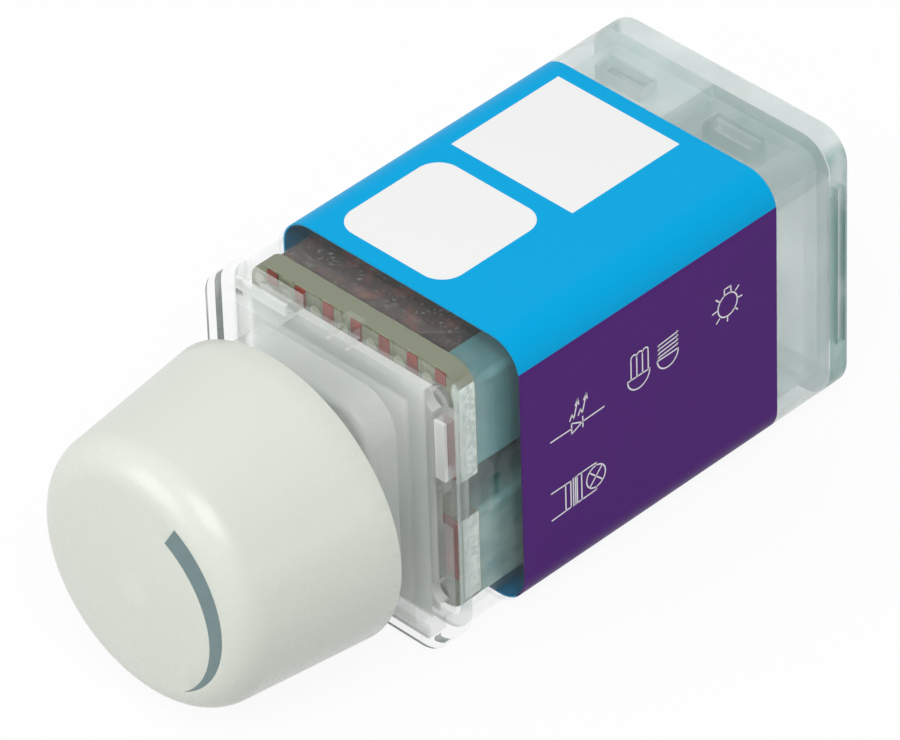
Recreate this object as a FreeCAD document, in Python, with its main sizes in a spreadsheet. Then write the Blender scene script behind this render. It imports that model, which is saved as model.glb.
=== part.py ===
"""Rotary dimmer mechanism: a small square module in a clear case, with a push-and-turn knob.

Millimetres. The shaft runs along Y. The origin is on its axis, in the plane of the cover's front
face, which seats against the back of a wall plate. The knob points to -Y, the wires enter from +Y,
and +Z is the side with the broad printed face of the label.
"""
import FreeCAD, Part
import math
import os

import Sketcher
from FreeCAD import Rotation, Vector

os.makedirs("parts", exist_ok=True)
doc = FreeCAD.newDocument("RotaryDimmer")

# Driving dimensions: alias, value, what it is

SIZES = (
    ("BodyWidth", 22.0, "square section of the case"),
    ("EdgeRadius", 2.5, "long edges of the case"),
    ("WallThickness", 1.2, "case wall"),
    ("NeckInset", 0.4, "step from the case's full section down to its neck"),
    ("HousingFront", 7.0, "seat plane to the full section"),
    ("RearRoom", 5.9, "terminals to the joint between housing and rear cap"),
    ("CoverDepth", 2.5, "depth of the front cover's rim"),
    ("PlateThickness", 1.6, "front wall of the cover"),
    ("RimThickness", 1.25, "side wall of the cover"),
    ("FrontEdge", 0.4, "rounding of the cover's front edge"),
    ("BossWidth", 14.0, "raised boss on the cover, across"),
    ("BossHeight", 18.0, "raised boss on the cover, up"),
    ("BossRadius", 3.0, "corners of the boss"),
    ("BossRise", 2.6, "boss in front of the seat plane"),
    ("BossEdge", 0.6, "rounding of the boss's front edge"),
    ("Fit", 0.05, "clearance between parts that are fixed together"),
    ("Running", 0.06, "radial clearance of turning and sliding parts"),
    ("CatchInset", 4.8, "centre of each front catch inside the case's edge"),
    ("CatchWidth", 4.8, "front catch"),
    ("CatchReach", 0.25, "catch below the case's outer face"),
    ("CatchFront", 0.7, "front of the catch behind the seat plane"),
    ("CatchSide", 0.15, "clearance round a catch or leg in its window"),
    ("CatchThickness", 0.95, "catch arm"),
    ("SlotWidth", 0.8, "moulding slot in front of each catch"),
    ("NibWidth", 1.5, "locating nib over the middle of the top and bottom"),
    ("NibLength", 1.1, "locating nib, front to back"),
    ("NibOffset", 0.6, "locating nib off the middle"),
    ("NibSlot", 0.3, "slot in the rim on each side of the nib"),
    ("NibSlotFront", 1.0, "front end of the slots beside the nib"),
    ("LegWidth", 3.0, "snap leg of the cover"),
    ("LegThickness", 0.75, "snap leg of the cover"),
    ("LegBack", 6.3, "end of the snap leg"),
    ("BarbHeight", 0.7, "barb on the snap leg"),
    ("BarbLength", 1.3, "barb on the snap leg"),
    ("BarbFlat", 0.4, "flat of the barb before it slopes"),
    ("CarrierThickness", 0.75, "plate that carries the control board"),
    ("CarrierGap", 0.15, "carrier and legs to the cover's rim"),
    ("PegRadius", 0.9, "stand-off peg under the board"),
    ("PegInset", 1.6, "peg inside the cover's rim, each way"),
    ("BoardFront", 3.2, "front face of the control board"),
    ("BoardThickness", 1.6, "both circuit boards"),
    ("BoardGap", 0.2, "both boards to the walls"),
    ("BoardRadius", 1.7, "corners of both boards"),
    ("CopperThickness", 0.12, "tinned copper on the board"),
    ("PadWidth", 0.9, "edge pad"),
    ("PadHeight", 1.9, "edge pad"),
    ("EndPadHeight", 1.0, "edge pad over a stand-off peg, at each end of the row"),
    ("PadPitch", 2.6, "edge pads, centre to centre"),
    ("PadShift", 0.3, "row of edge pads off the middle"),
    ("PadInset", 0.15, "edge pads below the board's edge"),
    ("RailWidth", 1.3, "copper rail down the board's sides"),
    ("RailGap", 0.45, "ends of the rails to the stand-off pegs"),
    ("RailInset", 0.35, "copper rail inside the board's edge"),
    ("PartGap", 0.15, "between neighbouring components"),
    ("ShaftRadius", 3.0, "control shaft"),
    ("DriveRadius", 2.0, "rear end of the shaft, which drives the rotor"),
    ("DriveFlat", 1.2, "flat of the drive end, from the axis"),
    ("DriveReach", 0.5, "drive end behind the rotary control"),
    ("DriveRoom", 0.25, "free space round the drive end"),
    ("KnobFlat", 1.7, "flat of the knob end, from the axis"),
    ("ShaftFront", 14.2, "front end of the shaft before the seat plane"),
    ("FlatBack", 5.4, "rear end of the knob flat before the seat plane"),
    ("ShaftCollar", 0.4, "full section behind the clip groove"),
    ("ClipThickness", 0.6, "groove of the retaining clip"),
    ("ClipRadius", 4.3, "retaining clip, outside"),
    ("GrooveRadius", 2.4, "bottom of the clip groove"),
    ("ClipMouth", 3.6, "mouth of the clip"),
    ("BushRadius", 3.6, "bush, outside"),
    ("BushFront", 2.0, "front end of the bush before the seat plane"),
    ("BushFlange", 4.6, "flange of the bush, radius"),
    ("FlangeThickness", 0.6, "flange of the bush"),
    ("CaseWidth", 11.0, "rotary control's case, across"),
    ("CaseHeight", 11.4, "rotary control's case, up"),
    ("CaseDepth", 8.2, "rotary control's case"),
    ("CaseWall", 1.0, "rotary control's front wall"),
    ("CavityRadius", 4.85, "rotary control's chamber"),
    ("BackThickness", 0.8, "rotary control's back plate"),
    ("RotorRadius", 4.6, "rotor"),
    ("RotorThickness", 1.6, "rotor"),
    ("WiperRoom", 1.0, "rotor to the back plate"),
    ("WiperThickness", 0.25, "wiper ring on the rotor"),
    ("WiperWidth", 1.2, "wiper finger"),
    ("TrackThickness", 0.3, "resistance track"),
    ("TrackInner", 2.9, "resistance track, inside radius"),
    ("TrackOuter", 4.4, "resistance track, outside radius"),
    ("TrackGap", 60.0, "degrees without track, at the bottom"),
    ("SpringWire", 0.35, "return spring wire"),
    ("SpringRadius", 2.52, "return spring, middle of the wire"),
    ("SpringTurns", 3.0, "return spring"),
    ("SwitchWidth", 7.0, "push switch"),
    ("SwitchDepth", 3.7, "push switch"),
    ("PlungerRadius", 1.6, "plunger of the push switch"),
    ("PlungerLength", 1.5, "plunger of the push switch"),
    ("PushTravel", 0.8, "stroke of the knob"),
    ("BridgeThickness", 0.3, "contact bridge on the plunger"),
    ("BridgeLength", 4.6, "contact bridge on the plunger"),
    ("BridgeWidth", 1.6, "contact bridge on the plunger"),
    ("ContactRadius", 0.45, "fixed contacts of the push switch"),
    ("ContactProud", 0.45, "fixed contacts behind the push switch"),
    ("KnobBack", 4.1, "open end of the knob before the seat plane"),
    ("KnobFront", 17.2, "inner edge of the knob's rounding before the seat plane"),
    ("KnobRadius", 11.3, "open end of the knob"),
    ("KnobFrontRadius", 9.85, "front of the knob before its edge is rounded"),
    ("KnobEdge", 2.7, "rounding of the knob's front edge"),
    ("KnobCrown", 0.3, "rise of the knob's front face"),
    ("KnobWall", 1.5, "knob's side wall"),
    ("KnobFace", 1.9, "knob's front wall"),
    ("KnobCorner", 0.7, "extra wall inside the rounded edge"),
    ("HubRadius", 4.6, "socket inside the knob"),
    ("HubInset", 1.5, "rear end of the socket inside the knob"),
    ("RibInset", 1.5, "ribs behind the end of the socket"),
    ("RibThickness", 1.0, "ribs between the socket and the wall"),
    ("CrescentRadius", 7.9, "outer arc of the pointer"),
    ("CrescentInner", 7.4, "inner arc of the pointer"),
    ("CrescentWidth", 1.7, "thick end of the pointer"),
    ("CrescentAngle", 60.0, "degrees from the middle of the pointer to each end"),
    ("CrescentDepth", 0.4, "pointer let into the knob"),
    ("CapacitorLength", 11.0, "film capacitors, front to back"),
    ("CapacitorInset", 0.8, "film capacitors below the housing's wall"),
    ("CapacitorRound", 0.5, "film capacitors' edges"),
    ("RectifierRise", 0.6, "rectifier above the rotary control"),
    ("RectifierInset", 0.4, "rectifier below the housing's wall"),
    ("RectifierLength", 10.0, "rectifier, front to back"),
    ("RectifierCorner", 3.0, "cut corner that marks the rectifier's plus pin"),
    ("TransistorLength", 6.5, "transistor body, front to back"),
    ("TransistorGap", 0.6, "between the two transistors"),
    ("TabThickness", 0.5, "transistor's metal tab"),
    ("TabLength", 8.6, "transistor's metal tab, front to back"),
    ("ChipWidth", 5.0, "controller chip, across"),
    ("ChipGap", 0.7, "controller chip above the pins between the boards"),
    ("ChipThickness", 1.2, "controller chip"),
    ("ResistorWidth", 0.8, "chip resistors, across"),
    ("ResistorThickness", 0.45, "chip resistors"),
    ("ChokeRoom", 5.1, "push switch to the power board"),
    ("ChokeShare", 0.6, "wound choke, as a share of the room between the ribs"),
    ("ChokeBore", 0.3, "wound choke, inside, as a share of its outside"),
    ("CoreThickness", 2.7, "choke's ring core"),
    ("CoreGap", 0.38, "choke's ring core to its winding, inside and outside"),
    ("CoreRound", 0.4, "rounding of the core's edges, as a share of its width"),
    ("ChokeWire", 0.5, "choke's winding"),
    ("ChokeBow", 0.3, "winding's bow over the faces of the core"),
    ("ChokeTurns", 10.0, "choke's winding"),
    ("ChokeSweep", 320.0, "degrees of the ring that the winding covers"),
    ("CanRadius", 2.8, "electrolytic capacitor"),
    ("CanLength", 7.4, "electrolytic capacitor"),
    ("CanGap", 0.3, "electrolytic capacitor to the walls"),
    ("FuseRadius", 1.3, "fuse"),
    ("FuseStep", 0.08, "fuse's tube below its ends"),
    ("FuseLength", 7.6, "fuse"),
    ("FuseCentre", 1.2, "middle of the fuse above the axis"),
    ("FuseCap", 1.4, "metal end of the fuse"),
    ("SurgeRadius", 2.5, "surge disc"),
    ("SurgeThickness", 2.4, "surge disc"),
    ("PinSize", 0.6, "square pins"),
    ("PinPitch", 2.0, "pins between the boards, centre to centre"),
    ("PinInset", 0.7, "pins between the boards, above the boards' lower edge"),
    ("PinSide", 0.3, "pins between the boards to the electrolytic capacitor"),
    ("TerminalSide", 5.0, "each terminal off the axis"),
    ("TerminalWidth", 6.4, "terminal, across"),
    ("TerminalLength", 7.2, "terminal, front to back"),
    ("TerminalTop", 1.1, "top of the terminal above the axis"),
    ("TerminalGap", 0.9, "bottom of the terminal to the housing"),
    ("TerminalWall", 0.5, "front wall of the terminal"),
    ("StudRadius", 0.9, "terminal's stud in the board"),
    ("ChamberWidth", 4.4, "wire chamber"),
    ("ChamberBottom", 5.0, "floor of the wire chamber below the axis"),
    ("WireRadius", 1.9, "wire entry"),
    ("WireDrop", 2.0, "wire entry below the axis"),
    ("WireClear", 0.1, "wire chamber's roof above the wire entry"),
    ("PressureThickness", 1.0, "pressure plate"),
    ("PressureLength", 6.3, "pressure plate"),
    ("ScrewRadius", 1.75, "terminal screw"),
    ("ScrewLength", 4.6, "terminal screw"),
    ("ScrewTip", 0.8, "tip that turns in the pressure plate, radius"),
    ("ScrewTipLength", 0.7, "tip that turns in the pressure plate"),
    ("ScrewSlot", 0.8, "screwdriver slot"),
    ("ScrewSlotDepth", 1.0, "screwdriver slot"),
    ("AccessRadius", 2.1, "screwdriver hole in the case"),
    ("CapDepth", 2.1, "rear cap behind the joint"),
    ("CapWall", 1.4, "rear cap's wall"),
    ("CapEdge", 0.5, "rounding of the rear cap"),
    ("FunnelWall", 1.3, "wall of the wire guides"),
    ("FunnelMouth", 3.1, "wire guide's mouth"),
    ("FunnelDepth", 1.8, "taper of the wire guide's mouth"),
    ("FunnelGap", 0.2, "wire guides to the terminals"),
    ("DividerThickness", 1.0, "wall between the terminals"),
    ("TongueOffset", 5.0, "each snap tongue off the middle"),
    ("TongueWidth", 4.0, "snap tongue"),
    ("TongueThickness", 0.9, "snap tongue"),
    ("TongueEnd", 0.9, "snap tongue before its window"),
    ("TongueGap", 0.12, "snap tongue to the wall over it"),
    ("WindowInset", 3.8, "front edge of the snap window before the joint"),
    ("WindowLength", 1.65, "snap window, front to back"),
    ("CatchSink", 0.2, "rear catch below the case's outer face"),
    ("CatchLand", 0.3, "flat top of the rear catch"),
    ("GrooveInset", 0.85, "middle of the side groove before the rear face"),
    ("GrooveWidth", 0.7, "side groove in the cap"),
    ("GrooveTop", 6.9, "side groove above the axis"),
    ("GrooveBottom", 6.4, "side groove below the axis"),
    ("GrooveDepth", 1.1, "side groove in the cap"),
    ("LabelInset", 0.5, "front edge of the label behind the full section's start"),
    ("LabelMargin", 5.2, "rear edge of the label before the joint"),
    ("LabelThickness", 0.12, "label, let in flush with the case"),
    ("LabelSeam", 0.3, "butt seam of the label"),
    ("RibWidth", 2.4, "rib that stops the power board"),
    ("RibHeight", 0.8, "rib that stops the power board"),
)

sheet = doc.addObject("Spreadsheet::Sheet", "Dim")
for row, (alias, size, note) in enumerate(SIZES, start=1):
    sheet.set(f"A{row}", alias)
    sheet.set(f"B{row}", str(size))
    sheet.setAlias(f"B{row}", alias)
    sheet.set(f"C{row}", note)
doc.recompute()

# Sizes worked out from the driving ones, as expressions

OUTER = "(Dim.BodyWidth / 2)"
INNER = "(Dim.BodyWidth / 2 - Dim.WallThickness)"
INNER_RADIUS = "(Dim.EdgeRadius - Dim.WallThickness)"
NECK = "(Dim.BodyWidth / 2 - Dim.NeckInset)"
NECK_RADIUS = "(Dim.EdgeRadius - Dim.NeckInset)"
RIM_INNER = "(Dim.BodyWidth / 2 - Dim.RimThickness)"
RIM_RADIUS = "(Dim.EdgeRadius - Dim.RimThickness)"
RIB_INNER = f"({INNER} - Dim.RibHeight)"
CARRIER_SIDE = f"({RIM_INNER} - Dim.CarrierGap)"
CARRIER_FRONT = "(Dim.PlateThickness + Dim.Fit)"
CARRIER_BACK = f"({CARRIER_FRONT} + Dim.CarrierThickness)"
PEG_PLACE = f"({RIM_INNER} - Dim.PegInset)"
RAIL_END = f"({PEG_PLACE} - Dim.PegRadius - Dim.RailGap)"
CATCH_TIP = "(Dim.BodyWidth / 2 - Dim.CatchReach)"
CATCH_ROOT = f"({CATCH_TIP} - Dim.CatchThickness)"
LEG_INNER = f"({CARRIER_SIDE} - Dim.LegThickness)"
LEG_HALF = "(Dim.LegWidth / 2 + Dim.CatchSide)"
BARB_TIP = f"({CARRIER_SIDE} + Dim.BarbHeight)"
BOARD_BACK = "(Dim.BoardFront + Dim.BoardThickness)"
BOARD_SIDE = f"({INNER} - Dim.BoardGap)"
BOARD_TOP = f"({NECK} - Dim.BoardGap)"
PIN_HEIGHT = f"(Dim.PinInset - {BOARD_SIDE})"
CAN_PLACE = f"(Dim.CanRadius + Dim.CanGap - {INNER})"
PIN_START = f"({CAN_PLACE} + Dim.CanRadius + Dim.PinSide + Dim.PinSize / 2)"
FLANGE_FRONT = f"({BOARD_BACK} + Dim.CaseWall)"
FLANGE_BACK = f"({FLANGE_FRONT} + Dim.FlangeThickness)"
CLIP_FRONT = f"({FLANGE_BACK} + Dim.Fit)"
SHOULDER = f"({CLIP_FRONT} + Dim.ClipThickness + Dim.ShaftCollar)"
CASE_BACK = f"({BOARD_BACK} + Dim.CaseDepth)"
PLATE_BACK = f"({CASE_BACK} + Dim.BackThickness)"
ROTOR_BACK = f"({CASE_BACK} - Dim.WiperRoom)"
ROTOR_FRONT = f"({ROTOR_BACK} - Dim.RotorThickness)"
DRIVE_BACK = f"({PLATE_BACK} + Dim.DriveReach)"
PLUNGER_FRONT = f"({DRIVE_BACK} + Dim.Running)"
PLUNGER_BACK = f"({PLUNGER_FRONT} + Dim.PlungerLength)"
BRIDGE_BACK = f"({PLUNGER_BACK} + Dim.BridgeThickness)"
CONTACT_FRONT = f"({BRIDGE_BACK} + Dim.PushTravel + Dim.Running)"
SWITCH_BACK = f"({PLATE_BACK} + Dim.SwitchDepth)"
POWER_FRONT = f"({SWITCH_BACK} + Dim.ChokeRoom)"
POWER_BACK = f"({POWER_FRONT} + Dim.BoardThickness)"
TERMINAL_BACK = f"({POWER_BACK} + Dim.TerminalLength)"
TERMINAL_MIDDLE = f"({POWER_BACK} + Dim.TerminalLength / 2)"
TERMINAL_BOTTOM = f"({INNER} - Dim.TerminalGap)"
CHAMBER_TOP = "(Dim.WireRadius + Dim.WireClear - Dim.WireDrop)"
HOUSING_BACK = f"({TERMINAL_BACK} + Dim.RearRoom)"
CAP_BACK = f"({HOUSING_BACK} + Dim.CapDepth)"
CAP_INNER = f"({CAP_BACK} - Dim.CapWall)"
CAP_MIDDLE = f"({CAP_BACK} - Dim.CapWall / 2)"
FUNNEL_FRONT = f"({TERMINAL_BACK} + Dim.FunnelGap)"
TONGUE_TOP = f"({INNER} - Dim.TongueGap)"
TONGUE_MIDDLE = f"({TONGUE_TOP} - Dim.TongueThickness / 2)"
WINDOW_FRONT = f"({HOUSING_BACK} - Dim.WindowInset)"
WINDOW_BACK = f"({WINDOW_FRONT} + Dim.WindowLength)"
LABEL_FRONT = "(Dim.HousingFront + Dim.LabelInset)"
LABEL_BACK = f"({HOUSING_BACK} - Dim.LabelMargin)"
LABEL_INNER = f"({OUTER} - Dim.LabelThickness)"
RECTIFIER_BOTTOM = "(Dim.CaseHeight / 2 + Dim.RectifierRise)"
CHIP_TOP = "(-Dim.CaseHeight / 2 - 2 * Dim.PartGap)"
CHIP_BOTTOM = f"({PIN_HEIGHT} + Dim.PinSize / 2 + Dim.ChipGap)"
RESISTOR_ROOM = "(Dim.CaseWidth / 2 + Dim.PartGap - Dim.ChipWidth / 2)"
RESISTOR_PITCH = f"(({RESISTOR_ROOM} + Dim.ResistorWidth) / 3)"
CHOKE_RADIUS = f"({RIB_INNER} * Dim.ChokeShare)"
CHOKE_BORE = f"({CHOKE_RADIUS} * Dim.ChokeBore)"
CORE_WIDTH = f"({CHOKE_RADIUS} - {CHOKE_BORE} - 2 * Dim.ChokeWire - 2 * Dim.CoreGap)"
KNOB_INNER_FRONT = "(Dim.KnobFront - Dim.KnobFace)"
HUB_BACK = "(Dim.KnobBack + Dim.HubInset)"

ORIGIN_POINT = (-1, 1)
FRONT = "XZ_Plane"
SIDE = "YZ_Plane"
TOP = "XY_Plane"
ALONG_Y = Rotation(Vector(1, 0, 0), -90)

parts = {}


def value(expression):
    """The number that an expression on the sheet gives."""
    return float(sheet.evalExpression(expression))


def bind(item, **sizes):
    """Tie an object's properties to the sheet."""
    for name, expression in sizes.items():
        item.setExpression(name.replace("_", "."), expression)


def keep(label, item):
    """Name a finished piece."""
    item.Label = label
    parts[label] = item
    return item


# Sketches


def new_body(name):
    return doc.addObject("PartDesign::Body", name)


def new_sketch(body, role=FRONT, depth="0"):
    """Sketch on one of the body's own planes, moved along +Y, +X or +Z by depth."""
    sketch = body.newObject("Sketcher::SketchObject", body.Name + "_sketch")
    plane = next(item for item in body.Origin.OriginFeatures if item.Role == role)
    sketch.AttachmentSupport = (plane, [""])
    sketch.MapMode = "FlatFace"
    sketch.setExpression("AttachmentOffset.Base.z", f"-({depth})" if role == FRONT else depth)
    return sketch


def hold(sketch, index, point, x, y):
    """Hold a point of an element at its distances from the sketch's origin."""
    for kind, expression in (("DistanceX", x), ("DistanceY", y)):
        rule = Sketcher.Constraint(kind, *ORIGIN_POINT, index, point, value(expression))
        number = sketch.addConstraint(rule)
        sketch.setExpression(f"Constraints[{number}]", expression)


def polygon(sketch, corners):
    """Closed outline whose corners are pairs of expressions."""
    points = [Vector(value(x), value(y), 0) for x, y in corners]
    first = sketch.GeometryCount
    count = len(corners)
    for k in range(count):
        sketch.addGeometry(Part.LineSegment(points[k], points[(k + 1) % count]), False)
    for k in range(count):
        following = first + (k + 1) % count
        sketch.addConstraint(Sketcher.Constraint("Coincident", first + k, 2, following, 1))
    for k, (x, y) in enumerate(corners):
        hold(sketch, first + k, 1, x, y)


def rectangle(sketch, left, right, low, high):
    polygon(sketch, ((left, low), (right, low), (right, high), (left, high)))


def circle(sketch, x, y, radius):
    index = sketch.GeometryCount
    centre = Vector(value(x), value(y), 0)
    sketch.addGeometry(Part.Circle(centre, Vector(0, 0, 1), value(radius)), False)
    hold(sketch, index, 3, x, y)
    number = sketch.addConstraint(Sketcher.Constraint("Radius", index, value(radius)))
    sketch.setExpression(f"Constraints[{number}]", radius)


def rounded_rectangle(sketch, left, right, low, high, radius):
    """Rectangle with four equal tangent corner arcs, each arc's centre held in place."""
    a, b, c, d, r = (value(item) for item in (left, right, low, high, radius))
    lines = (((a + r, c), (b - r, c)), ((b, c + r), (b, d - r)),
             ((b - r, d), (a + r, d)), ((a, d - r), (a, c + r)))
    centres = ((b - r, c + r), (b - r, d - r), (a + r, d - r), (a + r, c + r))
    first = sketch.GeometryCount
    for k in range(4):
        start, end = (Vector(*point, 0) for point in lines[k])
        sketch.addGeometry(Part.LineSegment(start, end), False)
        ring = Part.Circle(Vector(*centres[k], 0), Vector(0, 0, 1), r)
        turn = math.radians(90 * (k - 1))
        sketch.addGeometry(Part.ArcOfCircle(ring, turn, turn + math.pi / 2), False)
    for k in range(4):
        line = first + 2 * k
        following = first + (2 * k + 2) % 8
        sketch.addConstraint(Sketcher.Constraint("Tangent", line, 2, line + 1, 1))
        sketch.addConstraint(Sketcher.Constraint("Tangent", line + 1, 2, following, 1))
    for k in range(1, 4):
        sketch.addConstraint(Sketcher.Constraint("Equal", first + 1, first + 2 * k + 1))
    number = sketch.addConstraint(Sketcher.Constraint("Radius", first + 1, r))
    sketch.setExpression(f"Constraints[{number}]", radius)
    for kind, index in (("Horizontal", 0), ("Vertical", 2), ("Horizontal", 4), ("Vertical", 6)):
        sketch.addConstraint(Sketcher.Constraint(kind, first + index))
    for kind, index, expression in (("DistanceY", 0, low), ("DistanceX", 2, right),
                                    ("DistanceY", 4, high), ("DistanceX", 6, left)):
        rule = Sketcher.Constraint(kind, *ORIGIN_POINT, first + index, 1, value(expression))
        number = sketch.addConstraint(rule)
        sketch.setExpression(f"Constraints[{number}]", expression)


def square(sketch, half, radius):
    """Rounded square about the origin."""
    rounded_rectangle(sketch, f"-{half}", half, f"-{half}", half, radius)


# Features


def pad(body, sketch, length, reverse=None):
    """Extrude a sketch. On the front plane it grows towards +Y unless reverse says otherwise."""
    feature = body.newObject("PartDesign::Pad", body.Name + "_pad")
    feature.Profile = sketch
    on_front = sketch.AttachmentSupport[0][0].Role == FRONT
    feature.Reversed = on_front if reverse is None else reverse
    feature.setExpression("Length", length)
    return feature


def pocket(body, sketch, length, reverse=False):
    """Cut a sketch out of a body, towards +Y on the front plane, and see that it removes material."""
    doc.recompute()
    before = body.Shape.Volume
    feature = body.newObject("PartDesign::Pocket", body.Name + "_pocket")
    feature.Profile = sketch
    feature.Reversed = reverse
    feature.setExpression("Length", length)
    doc.recompute()
    if not body.Shape.Volume < before - 1e-6:
        raise RuntimeError(f"{body.Name}: a pocket removed nothing")
    return feature


def fillet(body, feature, radius, chosen):
    """Round the edges of the body's last feature that chosen picks."""
    doc.recompute()
    names = [f"Edge{k}" for k, edge in enumerate(feature.Shape.Edges, start=1) if chosen(edge)]
    rounding = body.newObject("PartDesign::Fillet", body.Name + "_fillet")
    rounding.Base = (feature, names)
    rounding.setExpression("Radius", radius)
    return rounding


def flat_at(edge, depth):
    """Whether an edge lies in the plane y = depth."""
    box = edge.BoundBox
    return abs(box.YMin - depth) < 1e-4 and abs(box.YMax - depth) < 1e-4


# Solids


def block(name, x, y, z):
    """Box between three pairs of planes, each pair two expressions."""
    box = doc.addObject("Part::Box", name)
    bind(box, Length=f"({x[1]}) - ({x[0]})", Width=f"({y[1]}) - ({y[0]})", Height=f"({z[1]}) - ({z[0]})",
         Placement_Base_x=x[0], Placement_Base_y=y[0], Placement_Base_z=z[0])
    return box


def rod(name, radius, along, at=("0", "0")):
    """Cylinder along +Y between a pair of planes, at a place given across and up."""
    bar = doc.addObject("Part::Cylinder", name)
    bar.Placement.Rotation = ALONG_Y
    bind(bar, Radius=radius, Height=f"({along[1]}) - ({along[0]})",
         Placement_Base_x=at[0], Placement_Base_y=along[0], Placement_Base_z=at[1])
    return bar


def upright(name, radius, up, at):
    """Cylinder along +Z between a pair of planes, at a place given across and along."""
    bar = doc.addObject("Part::Cylinder", name)
    bind(bar, Radius=radius, Height=f"({up[1]}) - ({up[0]})",
         Placement_Base_x=at[0], Placement_Base_y=at[1], Placement_Base_z=up[0])
    return bar


def fuse(name, shapes):
    union = doc.addObject("Part::MultiFuse", name)
    union.Shapes = shapes
    return union


def cut(name, base, tools):
    """Base with every tool taken out of it."""
    result = doc.addObject("Part::Cut", name)
    result.Base = base
    result.Tool = tools[0] if len(tools) == 1 else fuse(name + "_tools", tools)
    return result


def group(name, shapes):
    """Several separate solids under one name."""
    bundle = doc.addObject("Part::Compound", name)
    bundle.Links = shapes
    return bundle


def about(centre, size):
    """A pair of planes, size apart, with centre between them."""
    return f"{centre} - {size} / 2", f"{centre} + {size} / 2"


def wider(pair, gap):
    """A pair of planes moved apart by a gap on each side."""
    return f"{pair[0]} - {gap}", f"{pair[1]} + {gap}"


def mirrored(pair, side):
    """A pair of planes on the positive side, or the same pair mirrored to the other."""
    return pair if side > 0 else (f"-({pair[1]})", f"-({pair[0]})")


def quarter(x_pair, y_pair, turn):
    """A rectangle above the axis, carried round it by a number of quarter turns."""
    (a, b), (c, d) = x_pair, y_pair
    places = ((a, b, c, d), (c, d, f"-({b})", f"-({a})"),
              (f"-({b})", f"-({a})", f"-({d})", f"-({c})"), (f"-({d})", f"-({c})", a, b))
    return places[turn]


# Front cover: clear moulding with the boss that enters the wall plate

CATCH_SPAN = about(f"(Dim.CatchInset - {OUTER})", "Dim.CatchWidth")
LEG_WINDOW = (f"{LEG_INNER} - Dim.CatchSide", OUTER)
LEG_WINDOW_UP = (f"-{LEG_HALF}", LEG_HALF)
BORE_CUT = "(2 * Dim.BossRise + Dim.BoardFront + Dim.BoardThickness)"

cover = new_body("front_cover")
outline = new_sketch(cover)
square(outline, OUTER, "Dim.EdgeRadius")
rim = pad(cover, outline, "Dim.CoverDepth")
fillet(cover, rim, "Dim.FrontEdge", lambda edge: flat_at(edge, 0))
boss = new_sketch(cover, depth="-Dim.BossRise")
rounded_rectangle(boss, *about("0", "Dim.BossWidth"), *about("0", "Dim.BossHeight"), "Dim.BossRadius")
boss_pad = pad(cover, boss, "Dim.BossRise + Dim.PlateThickness")
fillet(cover, boss_pad, "Dim.BossEdge", lambda edge: flat_at(edge, -value("Dim.BossRise")))
hollow = new_sketch(cover, depth="Dim.PlateThickness")
square(hollow, RIM_INNER, RIM_RADIUS)
pocket(cover, hollow, "Dim.CoverDepth")
bore = new_sketch(cover, depth="-2 * Dim.BossRise")
circle(bore, "0", "0", "Dim.BushRadius + Dim.Fit")
pocket(cover, bore, BORE_CUT)
windows = new_sketch(cover, depth="Dim.CatchFront - Dim.CatchSide")
slots = new_sketch(cover, depth="-Dim.FrontEdge")
for turn in range(4):
    opening = (f"{CATCH_ROOT} - Dim.CatchSide", f"{OUTER} + Dim.Fit")
    rectangle(windows, *quarter(wider(CATCH_SPAN, "Dim.CatchSide"), opening, turn))
    rectangle(slots, *quarter(CATCH_SPAN, about(CATCH_ROOT, "Dim.SlotWidth"), turn))
pocket(cover, windows, "Dim.CoverDepth")
pocket(cover, slots, "Dim.PlateThickness + 2 * Dim.FrontEdge")
legs = new_sketch(cover, depth="Dim.PlateThickness / 2")
barbs = new_sketch(cover, role=TOP, depth="-Dim.LegWidth / 2")
for side in (1, -1):
    rectangle(legs, *mirrored((LEG_INNER, CARRIER_SIDE), side), *about("0", "Dim.LegWidth"))
    sign = "" if side > 0 else "-"
    barb_front = "(Dim.LegBack - Dim.BarbLength)"
    polygon(barbs, ((f"{sign}{LEG_INNER}", barb_front),
                    (f"{sign}{BARB_TIP}", barb_front),
                    (f"{sign}{BARB_TIP}", f"{barb_front} + Dim.BarbFlat"),
                    (f"{sign}{CARRIER_SIDE}", "Dim.LegBack"),
                    (f"{sign}{LEG_INNER}", "Dim.LegBack")))
pad(cover, legs, "Dim.LegBack - Dim.PlateThickness / 2")
pad(cover, barbs, "Dim.LegWidth")
nibs = new_sketch(cover, depth="Dim.CoverDepth - Dim.NibLength / 2")
for turn in (0, 2):
    rectangle(nibs, *quarter(about("Dim.NibOffset", "Dim.NibWidth"), (f"{NECK} + Dim.Fit", OUTER), turn))
pad(cover, nibs, "Dim.NibLength")
nib_slots = new_sketch(cover, depth="Dim.NibSlotFront")
nib_slot_up = (f"{RIM_INNER} - Dim.Fit", f"{OUTER} + Dim.Fit")
for turn in (0, 2):
    for side in ("-", "+"):
        middle = f"(Dim.NibOffset {side} (Dim.NibWidth + Dim.NibSlot) / 2)"
        rectangle(nib_slots, *quarter(about(middle, "Dim.NibSlot"), nib_slot_up, turn))
pocket(cover, nib_slots, "Dim.CoverDepth + Dim.NibLength")
keep("front_cover", cover)

# Carrier plate: frosted plate behind the cover, whose four catches click into the cover's windows

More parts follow.
